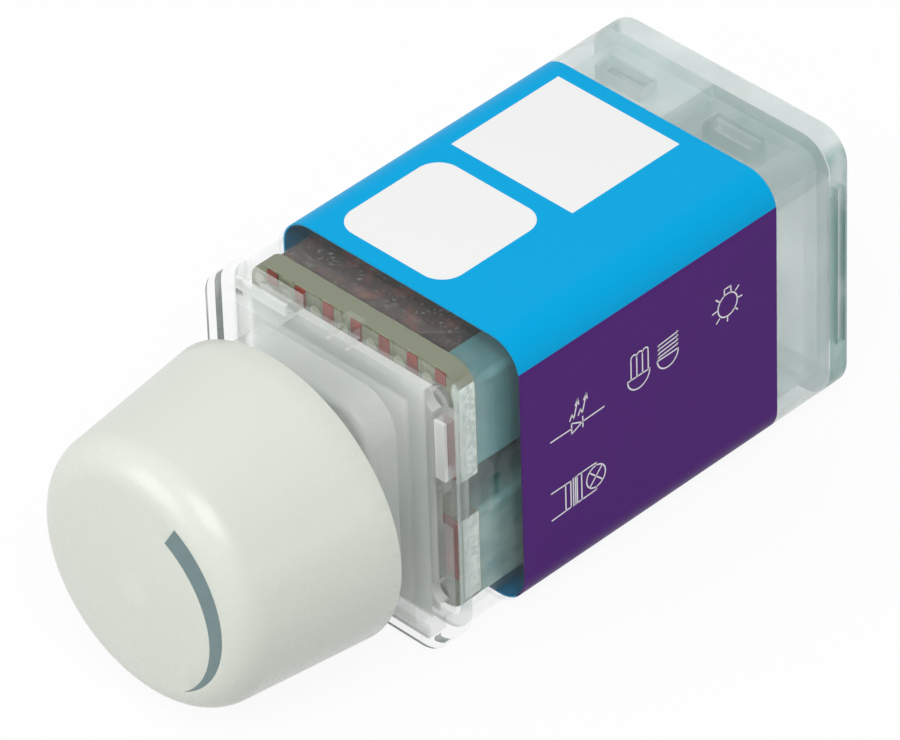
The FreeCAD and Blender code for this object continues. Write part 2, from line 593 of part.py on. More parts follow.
carrier = new_body("carrier_plate")
outline = new_sketch(carrier, depth=CARRIER_FRONT)
square(outline, CARRIER_SIDE, RIM_RADIUS)
pad(carrier, outline, "Dim.CarrierThickness")
arms = new_sketch(carrier, depth=CARRIER_FRONT)
tips = new_sketch(carrier, depth="Dim.CatchFront")
for turn in range(4):
    rectangle(arms, *quarter(CATCH_SPAN, (f"{CARRIER_SIDE} - Dim.CatchThickness", CATCH_TIP), turn))
    rectangle(tips, *quarter(CATCH_SPAN, (CATCH_ROOT, CATCH_TIP), turn))
pad(carrier, arms, "Dim.CarrierThickness")
pad(carrier, tips, f"{CARRIER_BACK} - Dim.CatchFront")
pegs = new_sketch(carrier, depth=f"{CARRIER_BACK} - Dim.CarrierThickness / 2")
for x in ("", "-"):
    for z in ("", "-"):
        circle(pegs, f"{x}{PEG_PLACE}", f"{z}{PEG_PLACE}", "Dim.PegRadius")
pad(carrier, pegs, f"Dim.BoardFront - {CARRIER_BACK} + Dim.CarrierThickness / 2")
openings = new_sketch(carrier, depth="0")
circle(openings, "0", "0", "Dim.BushRadius + Dim.Fit")
for side in (1, -1):
    rectangle(openings, *mirrored(LEG_WINDOW, side), *LEG_WINDOW_UP)
pocket(carrier, openings, CARRIER_BACK + " + Dim.Fit")
keep("carrier_plate", carrier)

# Main housing: clear square tube with a stepped neck, windows, stop ribs and a recess for the label

housing = new_body("main_housing")
outline = new_sketch(housing, depth="Dim.HousingFront")
square(outline, OUTER, "Dim.EdgeRadius")
pad(housing, outline, f"{HOUSING_BACK} - Dim.HousingFront")
neck = new_sketch(housing, depth="Dim.CoverDepth + Dim.Fit")
square(neck, NECK, NECK_RADIUS)
pad(housing, neck, "Dim.HousingFront - Dim.CoverDepth - Dim.Fit")
hollow = new_sketch(housing, depth="0")
square(hollow, INNER, INNER_RADIUS)
pocket(housing, hollow, HOUSING_BACK + " + Dim.Fit")
recess = new_sketch(housing, depth=LABEL_FRONT)
square(recess, OUTER, "Dim.EdgeRadius")
square(recess, LABEL_INNER, "(Dim.EdgeRadius - Dim.LabelThickness)")
pocket(housing, recess, f"{LABEL_BACK} - {LABEL_FRONT}")
notch = new_sketch(housing, depth="0")
notch_across = (f"-{BOARD_SIDE} - Dim.Fit", f"{BOARD_SIDE} + Dim.Fit")
rectangle(notch, *notch_across, f"{INNER} - Dim.WallThickness", OUTER)
pocket(housing, notch, BOARD_BACK + " + Dim.Fit")
barb_windows = new_sketch(housing, depth=BOARD_BACK)
for side in (1, -1):
    rectangle(barb_windows, *mirrored((RIB_INNER, OUTER), side), *LEG_WINDOW_UP)
pocket(housing, barb_windows, f"Dim.LegBack + Dim.CatchSide - {BOARD_BACK}")
ribs = new_sketch(housing, depth=LABEL_FRONT)
for side in (1, -1):
    rib_across = mirrored((RIB_INNER, f"{INNER} + Dim.WallThickness / 2"), side)
    rectangle(ribs, *rib_across, *about("0", "Dim.RibWidth"))
pad(housing, ribs, f"{POWER_FRONT} - Dim.Fit - {LABEL_FRONT}")
snap_windows = new_sketch(housing, role=TOP, depth=f"-{OUTER}")
access = new_sketch(housing, role=TOP, depth=f"-{OUTER}")
for side in ("-", ""):
    tongue_across = about(f"{side}Dim.TongueOffset", "Dim.TongueWidth")
    rectangle(snap_windows, *wider(tongue_across, "Dim.CatchSide"), WINDOW_FRONT, WINDOW_BACK)
    circle(access, f"{side}Dim.TerminalSide", TERMINAL_MIDDLE, "Dim.AccessRadius")
pocket(housing, snap_windows, "Dim.BodyWidth", reverse=True)
pocket(housing, access, "2 * Dim.WallThickness", reverse=True)
keep("main_housing", housing)

# Wrap label: printed film round the housing, with a butt seam on the left side

label = new_body("wrap_label")
outline = new_sketch(label, depth=LABEL_FRONT)
square(outline, OUTER, "Dim.EdgeRadius")
square(outline, LABEL_INNER, "(Dim.EdgeRadius - Dim.LabelThickness)")
pad(label, outline, f"{LABEL_BACK} - {LABEL_FRONT}")
access = new_sketch(label, role=TOP, depth=f"-{OUTER} - Dim.Fit")
for side in ("-", ""):
    circle(access, f"{side}Dim.TerminalSide", TERMINAL_MIDDLE, "Dim.AccessRadius")
pocket(label, access, "2 * Dim.WallThickness", reverse=True)
seam = new_sketch(label, depth="0")
seam_low = f"(Dim.EdgeRadius - {OUTER})"
rectangle(seam, *mirrored((f"{LABEL_INNER} - Dim.Fit", f"{OUTER} + Dim.Fit"), -1),
          seam_low, f"{seam_low} + Dim.LabelSeam")
pocket(label, seam, LABEL_BACK + " + Dim.Fit")
keep("wrap_label", label)

# Rear cap: clear moulding with wire guides, a divider and four snap tongues

cap = new_body("rear_cap")
outline = new_sketch(cap, depth=f"{HOUSING_BACK} + Dim.Fit")
square(outline, OUTER, "Dim.EdgeRadius")
cap_pad = pad(cap, outline, "Dim.CapDepth - Dim.Fit")
fillet(cap, cap_pad, "Dim.CapEdge", lambda edge: flat_at(edge, value(CAP_BACK)))
hollow = new_sketch(cap, depth="0")
square(hollow, INNER, INNER_RADIUS)
pocket(cap, hollow, CAP_INNER)
guides = new_sketch(cap, depth=FUNNEL_FRONT)
tongues = new_sketch(cap, depth=f"{WINDOW_FRONT} - Dim.TongueEnd")
for side in ("-", ""):
    circle(guides, f"{side}Dim.TerminalSide", "-Dim.WireDrop", "Dim.WireRadius + Dim.FunnelWall")
    tongue_across = about(f"{side}Dim.TongueOffset", "Dim.TongueWidth")
    tongue_up = (f"{TONGUE_TOP} - Dim.TongueThickness", TONGUE_TOP)
    for up in (1, -1):
        rectangle(tongues, *tongue_across, *mirrored(tongue_up, up))
pad(cap, guides, f"{CAP_MIDDLE} - {FUNNEL_FRONT}")
pad(cap, tongues, f"{CAP_MIDDLE} - {WINDOW_FRONT} + Dim.TongueEnd")
catch_front = f"({WINDOW_FRONT} + Dim.CatchSide)"
catch_back = f"({WINDOW_BACK} - Dim.CatchSide)"
catch_top = f"({OUTER} - Dim.CatchSink)"
for side in ("-", ""):
    catches = new_sketch(cap, role=SIDE, depth=about(f"{side}Dim.TongueOffset", "Dim.TongueWidth")[0])
    for sign in ("", "-"):
        polygon(catches, ((catch_front, f"{sign}{TONGUE_MIDDLE}"), (catch_back, f"{sign}{TONGUE_MIDDLE}"),
                          (catch_back, f"{sign}{catch_top}"),
                          (f"{catch_back} - Dim.CatchLand", f"{sign}{catch_top}"),
                          (catch_front, f"{sign}{TONGUE_TOP}")))
    pad(cap, catches, "Dim.TongueWidth")
divider = new_sketch(cap, depth=f"{POWER_BACK} + 2 * Dim.Fit")
rectangle(divider, *about("0", "Dim.DividerThickness"), f"-{TONGUE_TOP}", TONGUE_TOP)
pad(cap, divider, f"{CAP_MIDDLE} - {POWER_BACK} - 2 * Dim.Fit")
bores = new_sketch(cap, depth=f"{FUNNEL_FRONT} - Dim.Fit")
for side in ("-", ""):
    circle(bores, f"{side}Dim.TerminalSide", "-Dim.WireDrop", "Dim.WireRadius")
pocket(cap, bores, f"{CAP_BACK} - {FUNNEL_FRONT} + 2 * Dim.Fit")
for side in ("-", ""):
    mouth = cap.newObject("PartDesign::SubtractiveCone", "mouth")
    mouth.Placement.Rotation = ALONG_Y
    bind(mouth, Radius1="Dim.WireRadius", Radius2="Dim.FunnelMouth", Height="Dim.FunnelDepth",
         Placement_Base_x=f"{side}Dim.TerminalSide", Placement_Base_y=f"{CAP_BACK} - Dim.FunnelDepth",
         Placement_Base_z="-Dim.WireDrop")
grooves = new_sketch(cap, depth=f"{CAP_BACK} - Dim.GrooveInset - Dim.GrooveWidth / 2")
for side in (1, -1):
    groove_across = mirrored((f"{OUTER} - Dim.GrooveDepth", f"{OUTER} + Dim.Fit"), side)
    rectangle(grooves, *groove_across, "-Dim.GrooveBottom", "Dim.GrooveTop")
pocket(cap, grooves, "Dim.GrooveWidth")
keep("rear_cap", cap)

# Control board behind the carrier, with tinned copper on its front

board = new_body("control_board")
outline = new_sketch(board, depth="Dim.BoardFront")
rounded_rectangle(outline, f"-{BOARD_SIDE}", BOARD_SIDE, f"-{BOARD_SIDE}", BOARD_TOP, "Dim.BoardRadius")
pad(board, outline, "Dim.BoardThickness")
openings = new_sketch(board, depth="0")
circle(openings, "0", "0", "Dim.BushRadius + Dim.Fit")
for side in (1, -1):
    rectangle(openings, *mirrored(LEG_WINDOW, side), *LEG_WINDOW_UP)
PINS = []
for k in range(4):
    pin_across = about(f"({PIN_START} + {k} * Dim.PinPitch)", "Dim.PinSize")
    PINS.append((pin_across, about(PIN_HEIGHT, "Dim.PinSize")))
for across, up in PINS:
    rectangle(openings, *across, *up)
pocket(board, openings, BOARD_BACK)
keep("control_board", board)

COPPER = ("Dim.BoardFront - Dim.CopperThickness", "Dim.BoardFront")
PAD_TOP = f"({BOARD_TOP} - Dim.PadInset)"
copper = []
for k in range(-3, 4):
    pad_across = about(f"{k} * Dim.PadPitch + Dim.PadShift", "Dim.PadWidth")
    pad_height = "Dim.EndPadHeight" if abs(k) == 3 else "Dim.PadHeight"
    copper.append(block("edge_pad", pad_across, COPPER, (f"{PAD_TOP} - {pad_height}", PAD_TOP)))
for side in (1, -1):
    rail_across = mirrored(about(f"{BOARD_SIDE} - Dim.RailInset - Dim.RailWidth / 2", "Dim.RailWidth"), side)
    for up in (1, -1):
        rail_up = mirrored((f"{LEG_HALF} + Dim.CatchSide", RAIL_END), up)
        copper.append(block("rail", rail_across, COPPER, rail_up))
keep("board_copper", group("board_copper", copper))

# Rotary control: case, back plate, bush, rotor, wiper and track

CASE_ACROSS = about("0", "Dim.CaseWidth")
CASE_UP = about("0", "Dim.CaseHeight")

shell = block("case_block", CASE_ACROSS, (BOARD_BACK, CASE_BACK), CASE_UP)
chamber = rod("case_chamber", "Dim.CavityRadius", (FLANGE_FRONT, f"{CASE_BACK} + Dim.Fit"))
mouth = rod("case_mouth", "Dim.BushRadius + Dim.Fit", ("0", CASE_BACK))
keep("rotary_case", cut("rotary_case", shell, [chamber, mouth]))

plate = block("back_block", CASE_ACROSS, (CASE_BACK, PLATE_BACK), CASE_UP)
hole = rod("back_hole", "Dim.DriveRadius + Dim.DriveRoom", ("0", SWITCH_BACK))
keep("rotary_back", cut("rotary_back", plate, [hole]))

tube = rod("bush_tube", "Dim.BushRadius", ("-Dim.BushFront", FLANGE_BACK))
flange = rod("bush_flange", "Dim.BushFlange", (FLANGE_FRONT, FLANGE_BACK))
bore = rod("bush_bore", "Dim.ShaftRadius + Dim.Running", ("-2 * Dim.BushFront", CASE_BACK))
keep("shaft_bush", cut("shaft_bush", fuse("bush_blank", [tube, flange]), [bore]))


def flatted_rod(name, radius, flat, along, at=("0", "0")):
    """Round bar along +Y with one flat on its top."""
    bar = rod(name + "_bar", radius, along, at)
    over = block(name + "_over", about("0", f"4 * {radius}"), wider(along, radius), (flat, f"3 * {radius}"))
    return cut(name, bar, [over])


disc = rod("rotor_disc", "Dim.RotorRadius", (ROTOR_FRONT, ROTOR_BACK))
socket = flatted_rod("rotor_socket", "(Dim.DriveRadius + Dim.Running)", "Dim.DriveFlat + Dim.Running",
                     (SHOULDER, CASE_BACK))
keep("rotor", cut("rotor", disc, [socket]))

ring = rod("wiper_disc", "Dim.TrackOuter", (ROTOR_BACK, f"{ROTOR_BACK} + Dim.WiperThickness"))
clear = rod("wiper_bore", "Dim.TrackInner", (ROTOR_FRONT, CASE_BACK))
finger_along = (ROTOR_BACK, f"{CASE_BACK} - Dim.TrackThickness - Dim.Running")
finger_up = ("Dim.TrackInner", "Dim.TrackOuter")
finger = block("wiper_finger", about("0", "Dim.WiperWidth"), finger_along, finger_up)
keep("wiper", fuse("wiper", [cut("wiper_ring", ring, [clear]), finger]))

track = new_body("resistance_track")
outline = new_sketch(track, depth=f"{CASE_BACK} - Dim.TrackThickness")
circle(outline, "0", "0", "Dim.TrackOuter")
circle(outline, "0", "0", "Dim.TrackInner")
pad(track, outline, "Dim.TrackThickness")
gap = new_sketch(track, depth="0")
reach = "(1.5 * Dim.TrackOuter)"
spread = f"({reach} * tan(Dim.TrackGap * 1deg / 2))"
polygon(gap, (("0", "0"), (f"-{spread}", f"-{reach}"), (spread, f"-{reach}")))
pocket(track, gap, CASE_BACK + " + Dim.Fit")
keep("resistance_track", track)

# Shaft: turned bar with a flat for the knob, a clip groove and a drive end

bar = rod("shaft_bar", "Dim.ShaftRadius", ("-Dim.ShaftFront", SHOULDER))
flat = block("shaft_flat", about("0", "4 * Dim.ShaftRadius"), ("-2 * Dim.ShaftFront", "-Dim.FlatBack"),
             ("Dim.KnobFlat", "2 * Dim.ShaftRadius"))
groove_outer = rod("groove_outer", "2 * Dim.ShaftRadius", (CLIP_FRONT, f"{CLIP_FRONT} + Dim.ClipThickness"))
groove_inner = rod("groove_inner", "Dim.GrooveRadius", (FLANGE_FRONT, SHOULDER))
groove = cut("shaft_groove", groove_outer, [groove_inner])
drive = flatted_rod("shaft_tail", "Dim.DriveRadius", "Dim.DriveFlat", (SHOULDER, DRIVE_BACK))
keep("shaft", fuse("shaft", [cut("shaft_front", bar, [flat, groove]), drive]))

clip_disc = rod("clip_disc", "Dim.ClipRadius", (CLIP_FRONT, f"{CLIP_FRONT} + Dim.ClipThickness - Dim.Fit"))
clip_bore = rod("clip_bore", "Dim.GrooveRadius + Dim.Fit", (FLANGE_FRONT, SHOULDER))
mouth_up = ("-2 * Dim.ClipRadius", "0")
clip_mouth = block("clip_mouth", about("0", "Dim.ClipMouth"), (FLANGE_FRONT, SHOULDER), mouth_up)
keep("shaft_clip", cut("shaft_clip", clip_disc, [clip_bore, clip_mouth]))


# Wound wire: a path in quarter turns, each of two arcs that meet in one tangent


def bow(start, tangent, end):
    """Arc from start to end that leaves along tangent."""
    chord = end - start
    across = chord - tangent * chord.dot(tangent)
    radius = chord.Length ** 2 / (2 * across.Length)
    centre = start + across.normalize() * radius
    middle = (start + end) * 0.5
    outward = (middle - centre).normalize()
    return Part.Arc(start, centre + outward * radius, end).toShape()


def biarc(start, first, end, last):
    """Two arcs from start to end with the given unit tangents."""
    chord = end - start
    both = first + last
    turned = 2 * (1 - first.dot(last))
    reach = (math.sqrt(chord.dot(both) ** 2 + turned * chord.dot(chord)) - chord.dot(both)) / turned
    left = start + first * reach
    right = end - last * reach
    middle = (left + right) * 0.5
    return [bow(start, first, middle), bow(middle, (right - left).normalize(), end)]


def wound_tube(name, station, turns, wire_radius):
    """Tube along a path whose point and unit tangent station gives for a number of turns."""
    quarters = round(4 * turns)
    stops = [station(k * turns / quarters) for k in range(quarters + 1)]
    edges = []
    for (start, first), (end, last) in zip(stops, stops[1:]):
        edges += biarc(start, first, end, last)
    path = Part.Wire(edges)
    profile = Part.Wire(Part.Circle(stops[0][0], stops[0][1], wire_radius).toShape())
    tube = path.makePipeShell([profile], True, False)
    per_turn = 80
    points = path.discretize(int(turns * per_turn))
    half = per_turn // 2
    gaps = []
    for k in range(half, len(points)):
        gaps.append(min((points[k] - point).Length for point in points[:k - half + 1]))
    section = math.pi * wire_radius ** 2
    print(f"{name}: least gap to itself {min(gaps) - 2 * wire_radius:.3f}, volume {tube.Volume:.3f}, "
          f"section times length {section * path.Length:.3f}")
    feature = doc.addObject("Part::Feature", name)
    feature.Shape = tube
    return keep(name, feature)


# Return spring: pushes the shaft forward from the rotor

wire = value("Dim.SpringWire") / 2
spring_turns = value("Dim.SpringTurns")
spring_radius = value("Dim.SpringRadius")
spring_front = value(f"{SHOULDER} + Dim.Fit") + wire
spring_back = value(f"{ROTOR_FRONT} - Dim.Fit") - wire
spring_pitch = (spring_back - spring_front) / spring_turns


def spring_station(turn):
    """Point and tangent of the helix about the shaft axis."""
    angle = 2 * math.pi * turn
    across, up = spring_radius * math.cos(angle), spring_radius * math.sin(angle)
    point = Vector(across, spring_front + spring_pitch * turn, up)
    return point, Vector(-up, spring_pitch / (2 * math.pi), across).normalize()


wound_tube("return_spring", spring_station, spring_turns, wire)

# Push switch behind the rotary control

SWITCH_ACROSS = about("0", "Dim.SwitchWidth")
CONTACT_PLACE = "(Dim.BridgeLength / 2 - Dim.ContactRadius)"

switch_block = block("switch_block", SWITCH_ACROSS, (PLATE_BACK, SWITCH_BACK), SWITCH_ACROSS)
plunger_hole = rod("plunger_hole", "Dim.PlungerRadius + Dim.Running", (CASE_BACK, PLUNGER_BACK))
bridge_room = block("bridge_room", wider(about("0", "Dim.BridgeLength"), "Dim.CatchSide"),
                    (f"{PLUNGER_BACK} - Dim.PlungerLength / 4", f"{SWITCH_BACK} - Dim.BridgeThickness"),
                    wider(about("0", "2 * Dim.PlungerRadius"), "Dim.Running"))
drive_room = rod("drive_room", "Dim.DriveRadius + Dim.DriveRoom",
                 (CASE_BACK, f"{DRIVE_BACK} + Dim.PushTravel + Dim.DriveRoom"))
contacts = []
contact_holes = []
for side in ("-", ""):
    place = (f"{side}{CONTACT_PLACE}", "0")
    contact_along = (CONTACT_FRONT, f"{SWITCH_BACK} + Dim.ContactProud")
    contacts.append(rod("contact", "Dim.ContactRadius", contact_along, place))
    hole_along = (CONTACT_FRONT, POWER_FRONT)
    contact_holes.append(rod("contact_hole", "Dim.ContactRadius + Dim.Fit", hole_along, place))
rooms = [plunger_hole, bridge_room, drive_room] + contact_holes
keep("switch_case", cut("switch_case", switch_block, rooms))
keep("switch_plunger", rod("switch_plunger", "Dim.PlungerRadius", (PLUNGER_FRONT, PLUNGER_BACK)))
bridge_across = about("0", "Dim.BridgeLength")
bridge_up = about("0", "Dim.BridgeWidth")
keep("contact_bridge", block("contact_bridge", bridge_across, (PLUNGER_BACK, BRIDGE_BACK), bridge_up))
keep("switch_contacts", group("switch_contacts", contacts))

# Knob: domed shell with a ribbed socket, and the pointer let into its face


def knob_side(depth):
    """Radius of the knob's side at a distance before the seat plane."""
    share = f"(({depth}) - Dim.KnobBack) / (Dim.KnobFront - Dim.KnobBack)"
    return f"(Dim.KnobRadius - (Dim.KnobRadius - Dim.KnobFrontRadius) * {share})"


CROWN_TOP = "(Dim.KnobFront + Dim.KnobCrown)"
CROWN_RATIO = "(Dim.KnobFrontRadius / (Dim.KnobFrontRadius - Dim.KnobEdge))"
CROWN_EDGE = f"({CROWN_TOP} - Dim.KnobCrown * {CROWN_RATIO} ^ 2)"

blank = new_body("knob_blank")
outline = new_sketch(blank, role=SIDE)
edge_depth = value(CROWN_EDGE)
edge_radius = value(knob_side(CROWN_EDGE))
rise = value(CROWN_TOP) - edge_depth
crown_radius = (edge_radius ** 2 + rise ** 2) / (2 * rise)
crown_centre = Vector(crown_radius - value(CROWN_TOP), 0, 0)
corners = [Vector(-edge_depth - rise, 0, 0), Vector(-value("Dim.KnobBack"), 0, 0),
           Vector(-value("Dim.KnobBack"), value("Dim.KnobRadius"), 0), Vector(-edge_depth, edge_radius, 0)]
for start, end in zip(corners, corners[1:]):
    outline.addGeometry(Part.LineSegment(start, end), False)
crown_circle = Part.Circle(crown_centre, Vector(0, 0, 1), crown_radius)
crown_angle = math.pi - math.asin(edge_radius / crown_radius)
outline.addGeometry(Part.ArcOfCircle(crown_circle, crown_angle, math.pi), False)
for first, second in ((0, 1), (1, 2), (2, 3), (3, 0)):
    outline.addConstraint(Sketcher.Constraint("Coincident", first, 2, second, 1))
outline.addConstraint(Sketcher.Constraint("PointOnObject", 3, 3, -1))
hold(outline, 0, 1, f"-{CROWN_TOP}", "0")
hold(outline, 1, 1, "-Dim.KnobBack", "0")
hold(outline, 2, 1, "-Dim.KnobBack", "Dim.KnobRadius")
hold(outline, 3, 1, f"-{CROWN_EDGE}", knob_side(CROWN_EDGE))
turned = blank.newObject("PartDesign::Revolution", "knob_turned")
turned.Profile = outline
turned.ReferenceAxis = (outline, ["H_Axis"])
fillet(blank, turned, "Dim.KnobEdge", lambda edge: flat_at(edge, -edge_depth))
cavity = new_sketch(blank, role=SIDE)
polygon(cavity, (("-Dim.KnobBack", "Dim.HubRadius"), ("-Dim.KnobBack", "Dim.KnobRadius - Dim.KnobWall"),
                 (f"-{KNOB_INNER_FRONT}", f"{knob_side(KNOB_INNER_FRONT)} - Dim.KnobWall - Dim.KnobCorner"),
                 (f"-{KNOB_INNER_FRONT}", "Dim.HubRadius")))
hollowed = blank.newObject("PartDesign::Groove", "knob_hollow")
hollowed.Profile = cavity
hollowed.ReferenceAxis = (cavity, ["H_Axis"])
hub_end = new_sketch(blank, depth=f"-{HUB_BACK}")
circle(hub_end, "0", "0", "Dim.HubRadius + Dim.Fit")
pocket(blank, hub_end, HUB_BACK)
ribs = new_sketch(blank, depth=f"-{KNOB_INNER_FRONT} - Dim.Fit")
rib_up = ("Dim.HubRadius - Dim.RibThickness", f"{knob_side(KNOB_INNER_FRONT)} - Dim.KnobWall / 3")
for turn in range(4):
    rectangle(ribs, *quarter(about("0", "Dim.RibThickness"), rib_up, turn))
pad(blank, ribs, f"{KNOB_INNER_FRONT} + Dim.Fit - {HUB_BACK} - Dim.RibInset")

crescent = new_body("crescent")
outline = new_sketch(crescent, depth="-Dim.KnobFront - 2 * Dim.KnobCrown")
swing = math.radians(value("Dim.CrescentAngle"))
outer_arc = value("Dim.CrescentRadius")
inner_arc = value("Dim.CrescentInner")
heel = Vector(outer_arc * math.cos(swing), outer_arc * math.sin(swing), 0)
tip = Vector(heel.x, -heel.y, 0)
heel_inside = heel * (1 - value("Dim.CrescentWidth") / outer_arc)
chord = heel_inside - tip
inward = Vector(-chord.y, chord.x, 0).normalize()
inner_centre = (heel_inside + tip) * 0.5 + inward * math.sqrt(inner_arc ** 2 - (chord.Length / 2) ** 2)
to_tip = tip - inner_centre
to_heel = heel_inside - inner_centre
outer_circle = Part.Circle(Vector(0, 0, 0), Vector(0, 0, 1), outer_arc)
inner_circle = Part.Circle(inner_centre, Vector(0, 0, 1), inner_arc)
outline.addGeometry(Part.ArcOfCircle(outer_circle, -swing, swing), False)
outline.addGeometry(Part.LineSegment(heel, heel_inside), False)
inner_sweep = (math.atan2(to_tip.y, to_tip.x), math.atan2(to_heel.y, to_heel.x))
outline.addGeometry(Part.ArcOfCircle(inner_circle, *inner_sweep), False)
outline.addConstraint(Sketcher.Constraint("Coincident", 0, 3, *ORIGIN_POINT))
for first, first_end, second, second_end in ((0, 2, 1, 1), (1, 2, 2, 2), (2, 1, 0, 1)):
    outline.addConstraint(Sketcher.Constraint("Coincident", first, first_end, second, second_end))
for index, expression in ((0, "Dim.CrescentRadius"), (2, "Dim.CrescentInner")):
    number = outline.addConstraint(Sketcher.Constraint("Radius", index, value(expression)))
    outline.setExpression(f"Constraints[{number}]", expression)
heel_rise = "Dim.CrescentRadius * sin(Dim.CrescentAngle * 1deg)"
for point, place, sign in ((2, heel, ""), (1, tip, "-")):
    number = outline.addConstraint(Sketcher.Constraint("DistanceY", *ORIGIN_POINT, 0, point, place.y))
    outline.setExpression(f"Constraints[{number}]", sign + heel_rise)
inside = "(Dim.CrescentRadius - Dim.CrescentWidth)"
hold(outline, 1, 2, f"{inside} * cos(Dim.CrescentAngle * 1deg)", f"{inside} * sin(Dim.CrescentAngle * 1deg)")
pad(crescent, outline, "2 * Dim.KnobCrown + Dim.CrescentDepth")

socket = flatted_rod("knob_socket", "(Dim.ShaftRadius + Dim.Fit)", "Dim.KnobFlat + Dim.Fit",
                     ("-Dim.ShaftFront - Dim.Fit", f"Dim.RibInset - {HUB_BACK}"))
keep("knob", cut("knob", blank, [socket, crescent]))
inlay = doc.addObject("Part::Common", "knob_pointer")
inlay.Base = blank
inlay.Tool = crescent
keep("knob_pointer", inlay)

# Power parts on the control board

CAPACITOR_ACROSS = ("Dim.CaseWidth / 2 + Dim.PartGap", f"{BOARD_SIDE} - Dim.PartGap")
CAPACITOR_UP = (f"{LEG_HALF} + Dim.PartGap", f"{INNER} - Dim.CapacitorInset")


def behind_board(length):
    """The space behind the control board, to a length."""
    return BOARD_BACK, f"{BOARD_BACK} + {length}"


for name, side in (("film_capacitor_upper", 1), ("film_capacitor_lower", -1)):
    up = mirrored(CAPACITOR_UP, side)
    body = block(name + "_box", CAPACITOR_ACROSS, behind_board("Dim.CapacitorLength"), up)
    doc.recompute()
    rounded = doc.addObject("Part::Fillet", name)
    rounded.Base = body
    radius = value("Dim.CapacitorRound")
    lengths = [edge.BoundBox.YLength for edge in body.Shape.Edges]
    rounded.Edges = [(k, radius, radius) for k, length in enumerate(lengths, start=1) if length > radius]
    keep(name, rounded)

rectifier = new_body("bridge_rectifier")
outline = new_sketch(rectifier, role=TOP, depth=RECTIFIER_BOTTOM)
rectifier_left = f"(2 * Dim.PartGap - {BOARD_SIDE})"
rectifier_right = "(Dim.CaseWidth / 2 - Dim.PartGap)"
rectifier_back = f"({BOARD_BACK} + Dim.RectifierLength)"
polygon(outline, ((rectifier_left, BOARD_BACK),
                  (f"{rectifier_right} - Dim.RectifierCorner", BOARD_BACK),
                  (rectifier_right, f"{BOARD_BACK} + Dim.RectifierCorner"),
                  (rectifier_right, rectifier_back),
                  (rectifier_left, rectifier_back)))
pad(rectifier, outline, f"{INNER} - Dim.RectifierInset - {RECTIFIER_BOTTOM}")
keep("bridge_rectifier", rectifier)

tab_side = "(Dim.CaseWidth / 2 + 2 * Dim.PartGap)"
transistor_side = f"({tab_side} + Dim.TabThickness)"
transistor_up = ("Dim.TransistorGap / 2", f"{RECTIFIER_BOTTOM} - Dim.PartGap")
tabs = []
for name, side in (("transistor_upper", 1), ("transistor_lower", -1)):
    up = mirrored(transistor_up, side)
    across = mirrored((transistor_side, f"{LEG_INNER} - Dim.PartGap"), -1)
    keep(name, block(name, across, behind_board("Dim.TransistorLength"), up))
    tabs.append(block("tab", mirrored((tab_side, transistor_side), -1), behind_board("Dim.TabLength"), up))
keep("transistor_tabs", group("transistor_tabs", tabs))

chip_up = (CHIP_BOTTOM, CHIP_TOP)
chip = block("controller_chip", about("0", "Dim.ChipWidth"), behind_board("Dim.ChipThickness"), chip_up)
keep("controller_chip", chip)
resistors = []
for side in (1, -1):
    for k in (1, 2):
        middle = f"(Dim.ChipWidth / 2 - Dim.ResistorWidth / 2 + {k} * {RESISTOR_PITCH})"
        across = mirrored(about(middle, "Dim.ResistorWidth"), side)
        resistors.append(block("resistor", across, behind_board("Dim.ResistorThickness"), chip_up))
keep("chip_resistors", group("chip_resistors", resistors))

# Power board: stands on the housing's ribs and carries the terminals

power = new_body("power_board")
outline = new_sketch(power, depth=POWER_FRONT)
square(outline, BOARD_SIDE, "Dim.BoardRadius")
pad(power, outline, "Dim.BoardThickness")
openings = new_sketch(power, depth="0")
for across, up in PINS:
    rectangle(openings, *across, *up)
for side in ("-", ""):
    circle(openings, f"{side}Dim.TerminalSide", "-Dim.WireDrop", "Dim.StudRadius + Dim.Fit")
pocket(power, openings, POWER_BACK)
keep("power_board", power)
pins = [block("link_pin", across, ("Dim.BoardFront", POWER_BACK), up) for across, up in PINS]
keep("link_pins", group("link_pins", pins))

can_along = (f"{POWER_FRONT} - Dim.CanLength", POWER_FRONT)
can = rod("electrolytic_capacitor", "Dim.CanRadius", can_along, (CAN_PLACE, CAN_PLACE))
keep("electrolytic_capacitor", can)

fuse_low, fuse_high = about("Dim.FuseCentre", "Dim.FuseLength")
fuse_at = (f"(Dim.FuseRadius + Dim.PartGap - {RIB_INNER})", f"({POWER_FRONT} - Dim.FuseRadius)")
tube_up = (f"{fuse_low} + Dim.FuseCap", f"{fuse_high} - Dim.FuseCap")
keep("fuse_tube", upright("fuse_tube", "Dim.FuseRadius - Dim.FuseStep", tube_up, fuse_at))
ends = []
for up in ((fuse_low, tube_up[0]), (tube_up[1], fuse_high)):
    ends.append(upright("fuse_end", "Dim.FuseRadius", up, fuse_at))
keep("fuse_ends", group("fuse_ends", ends))

surge = new_body("surge_disc")
outline = new_sketch(surge, role=SIDE, depth=f"{RIB_INNER} - Dim.PartGap - Dim.SurgeThickness")
circle(outline, f"{POWER_FRONT} - Dim.SurgeRadius", "0", "Dim.SurgeRadius")
pad(surge, outline, "Dim.SurgeThickness")
keep("surge_disc", surge)

# Choke: ring core with rounded edges, and one wire wound round it

CHOKE_MIDDLE = f"({POWER_FRONT} - Dim.Fit - Dim.CoreThickness / 2 - Dim.ChokeBow - Dim.ChokeWire)"
RING_RADIUS = f"(({CHOKE_RADIUS} + {CHOKE_BORE}) / 2)"

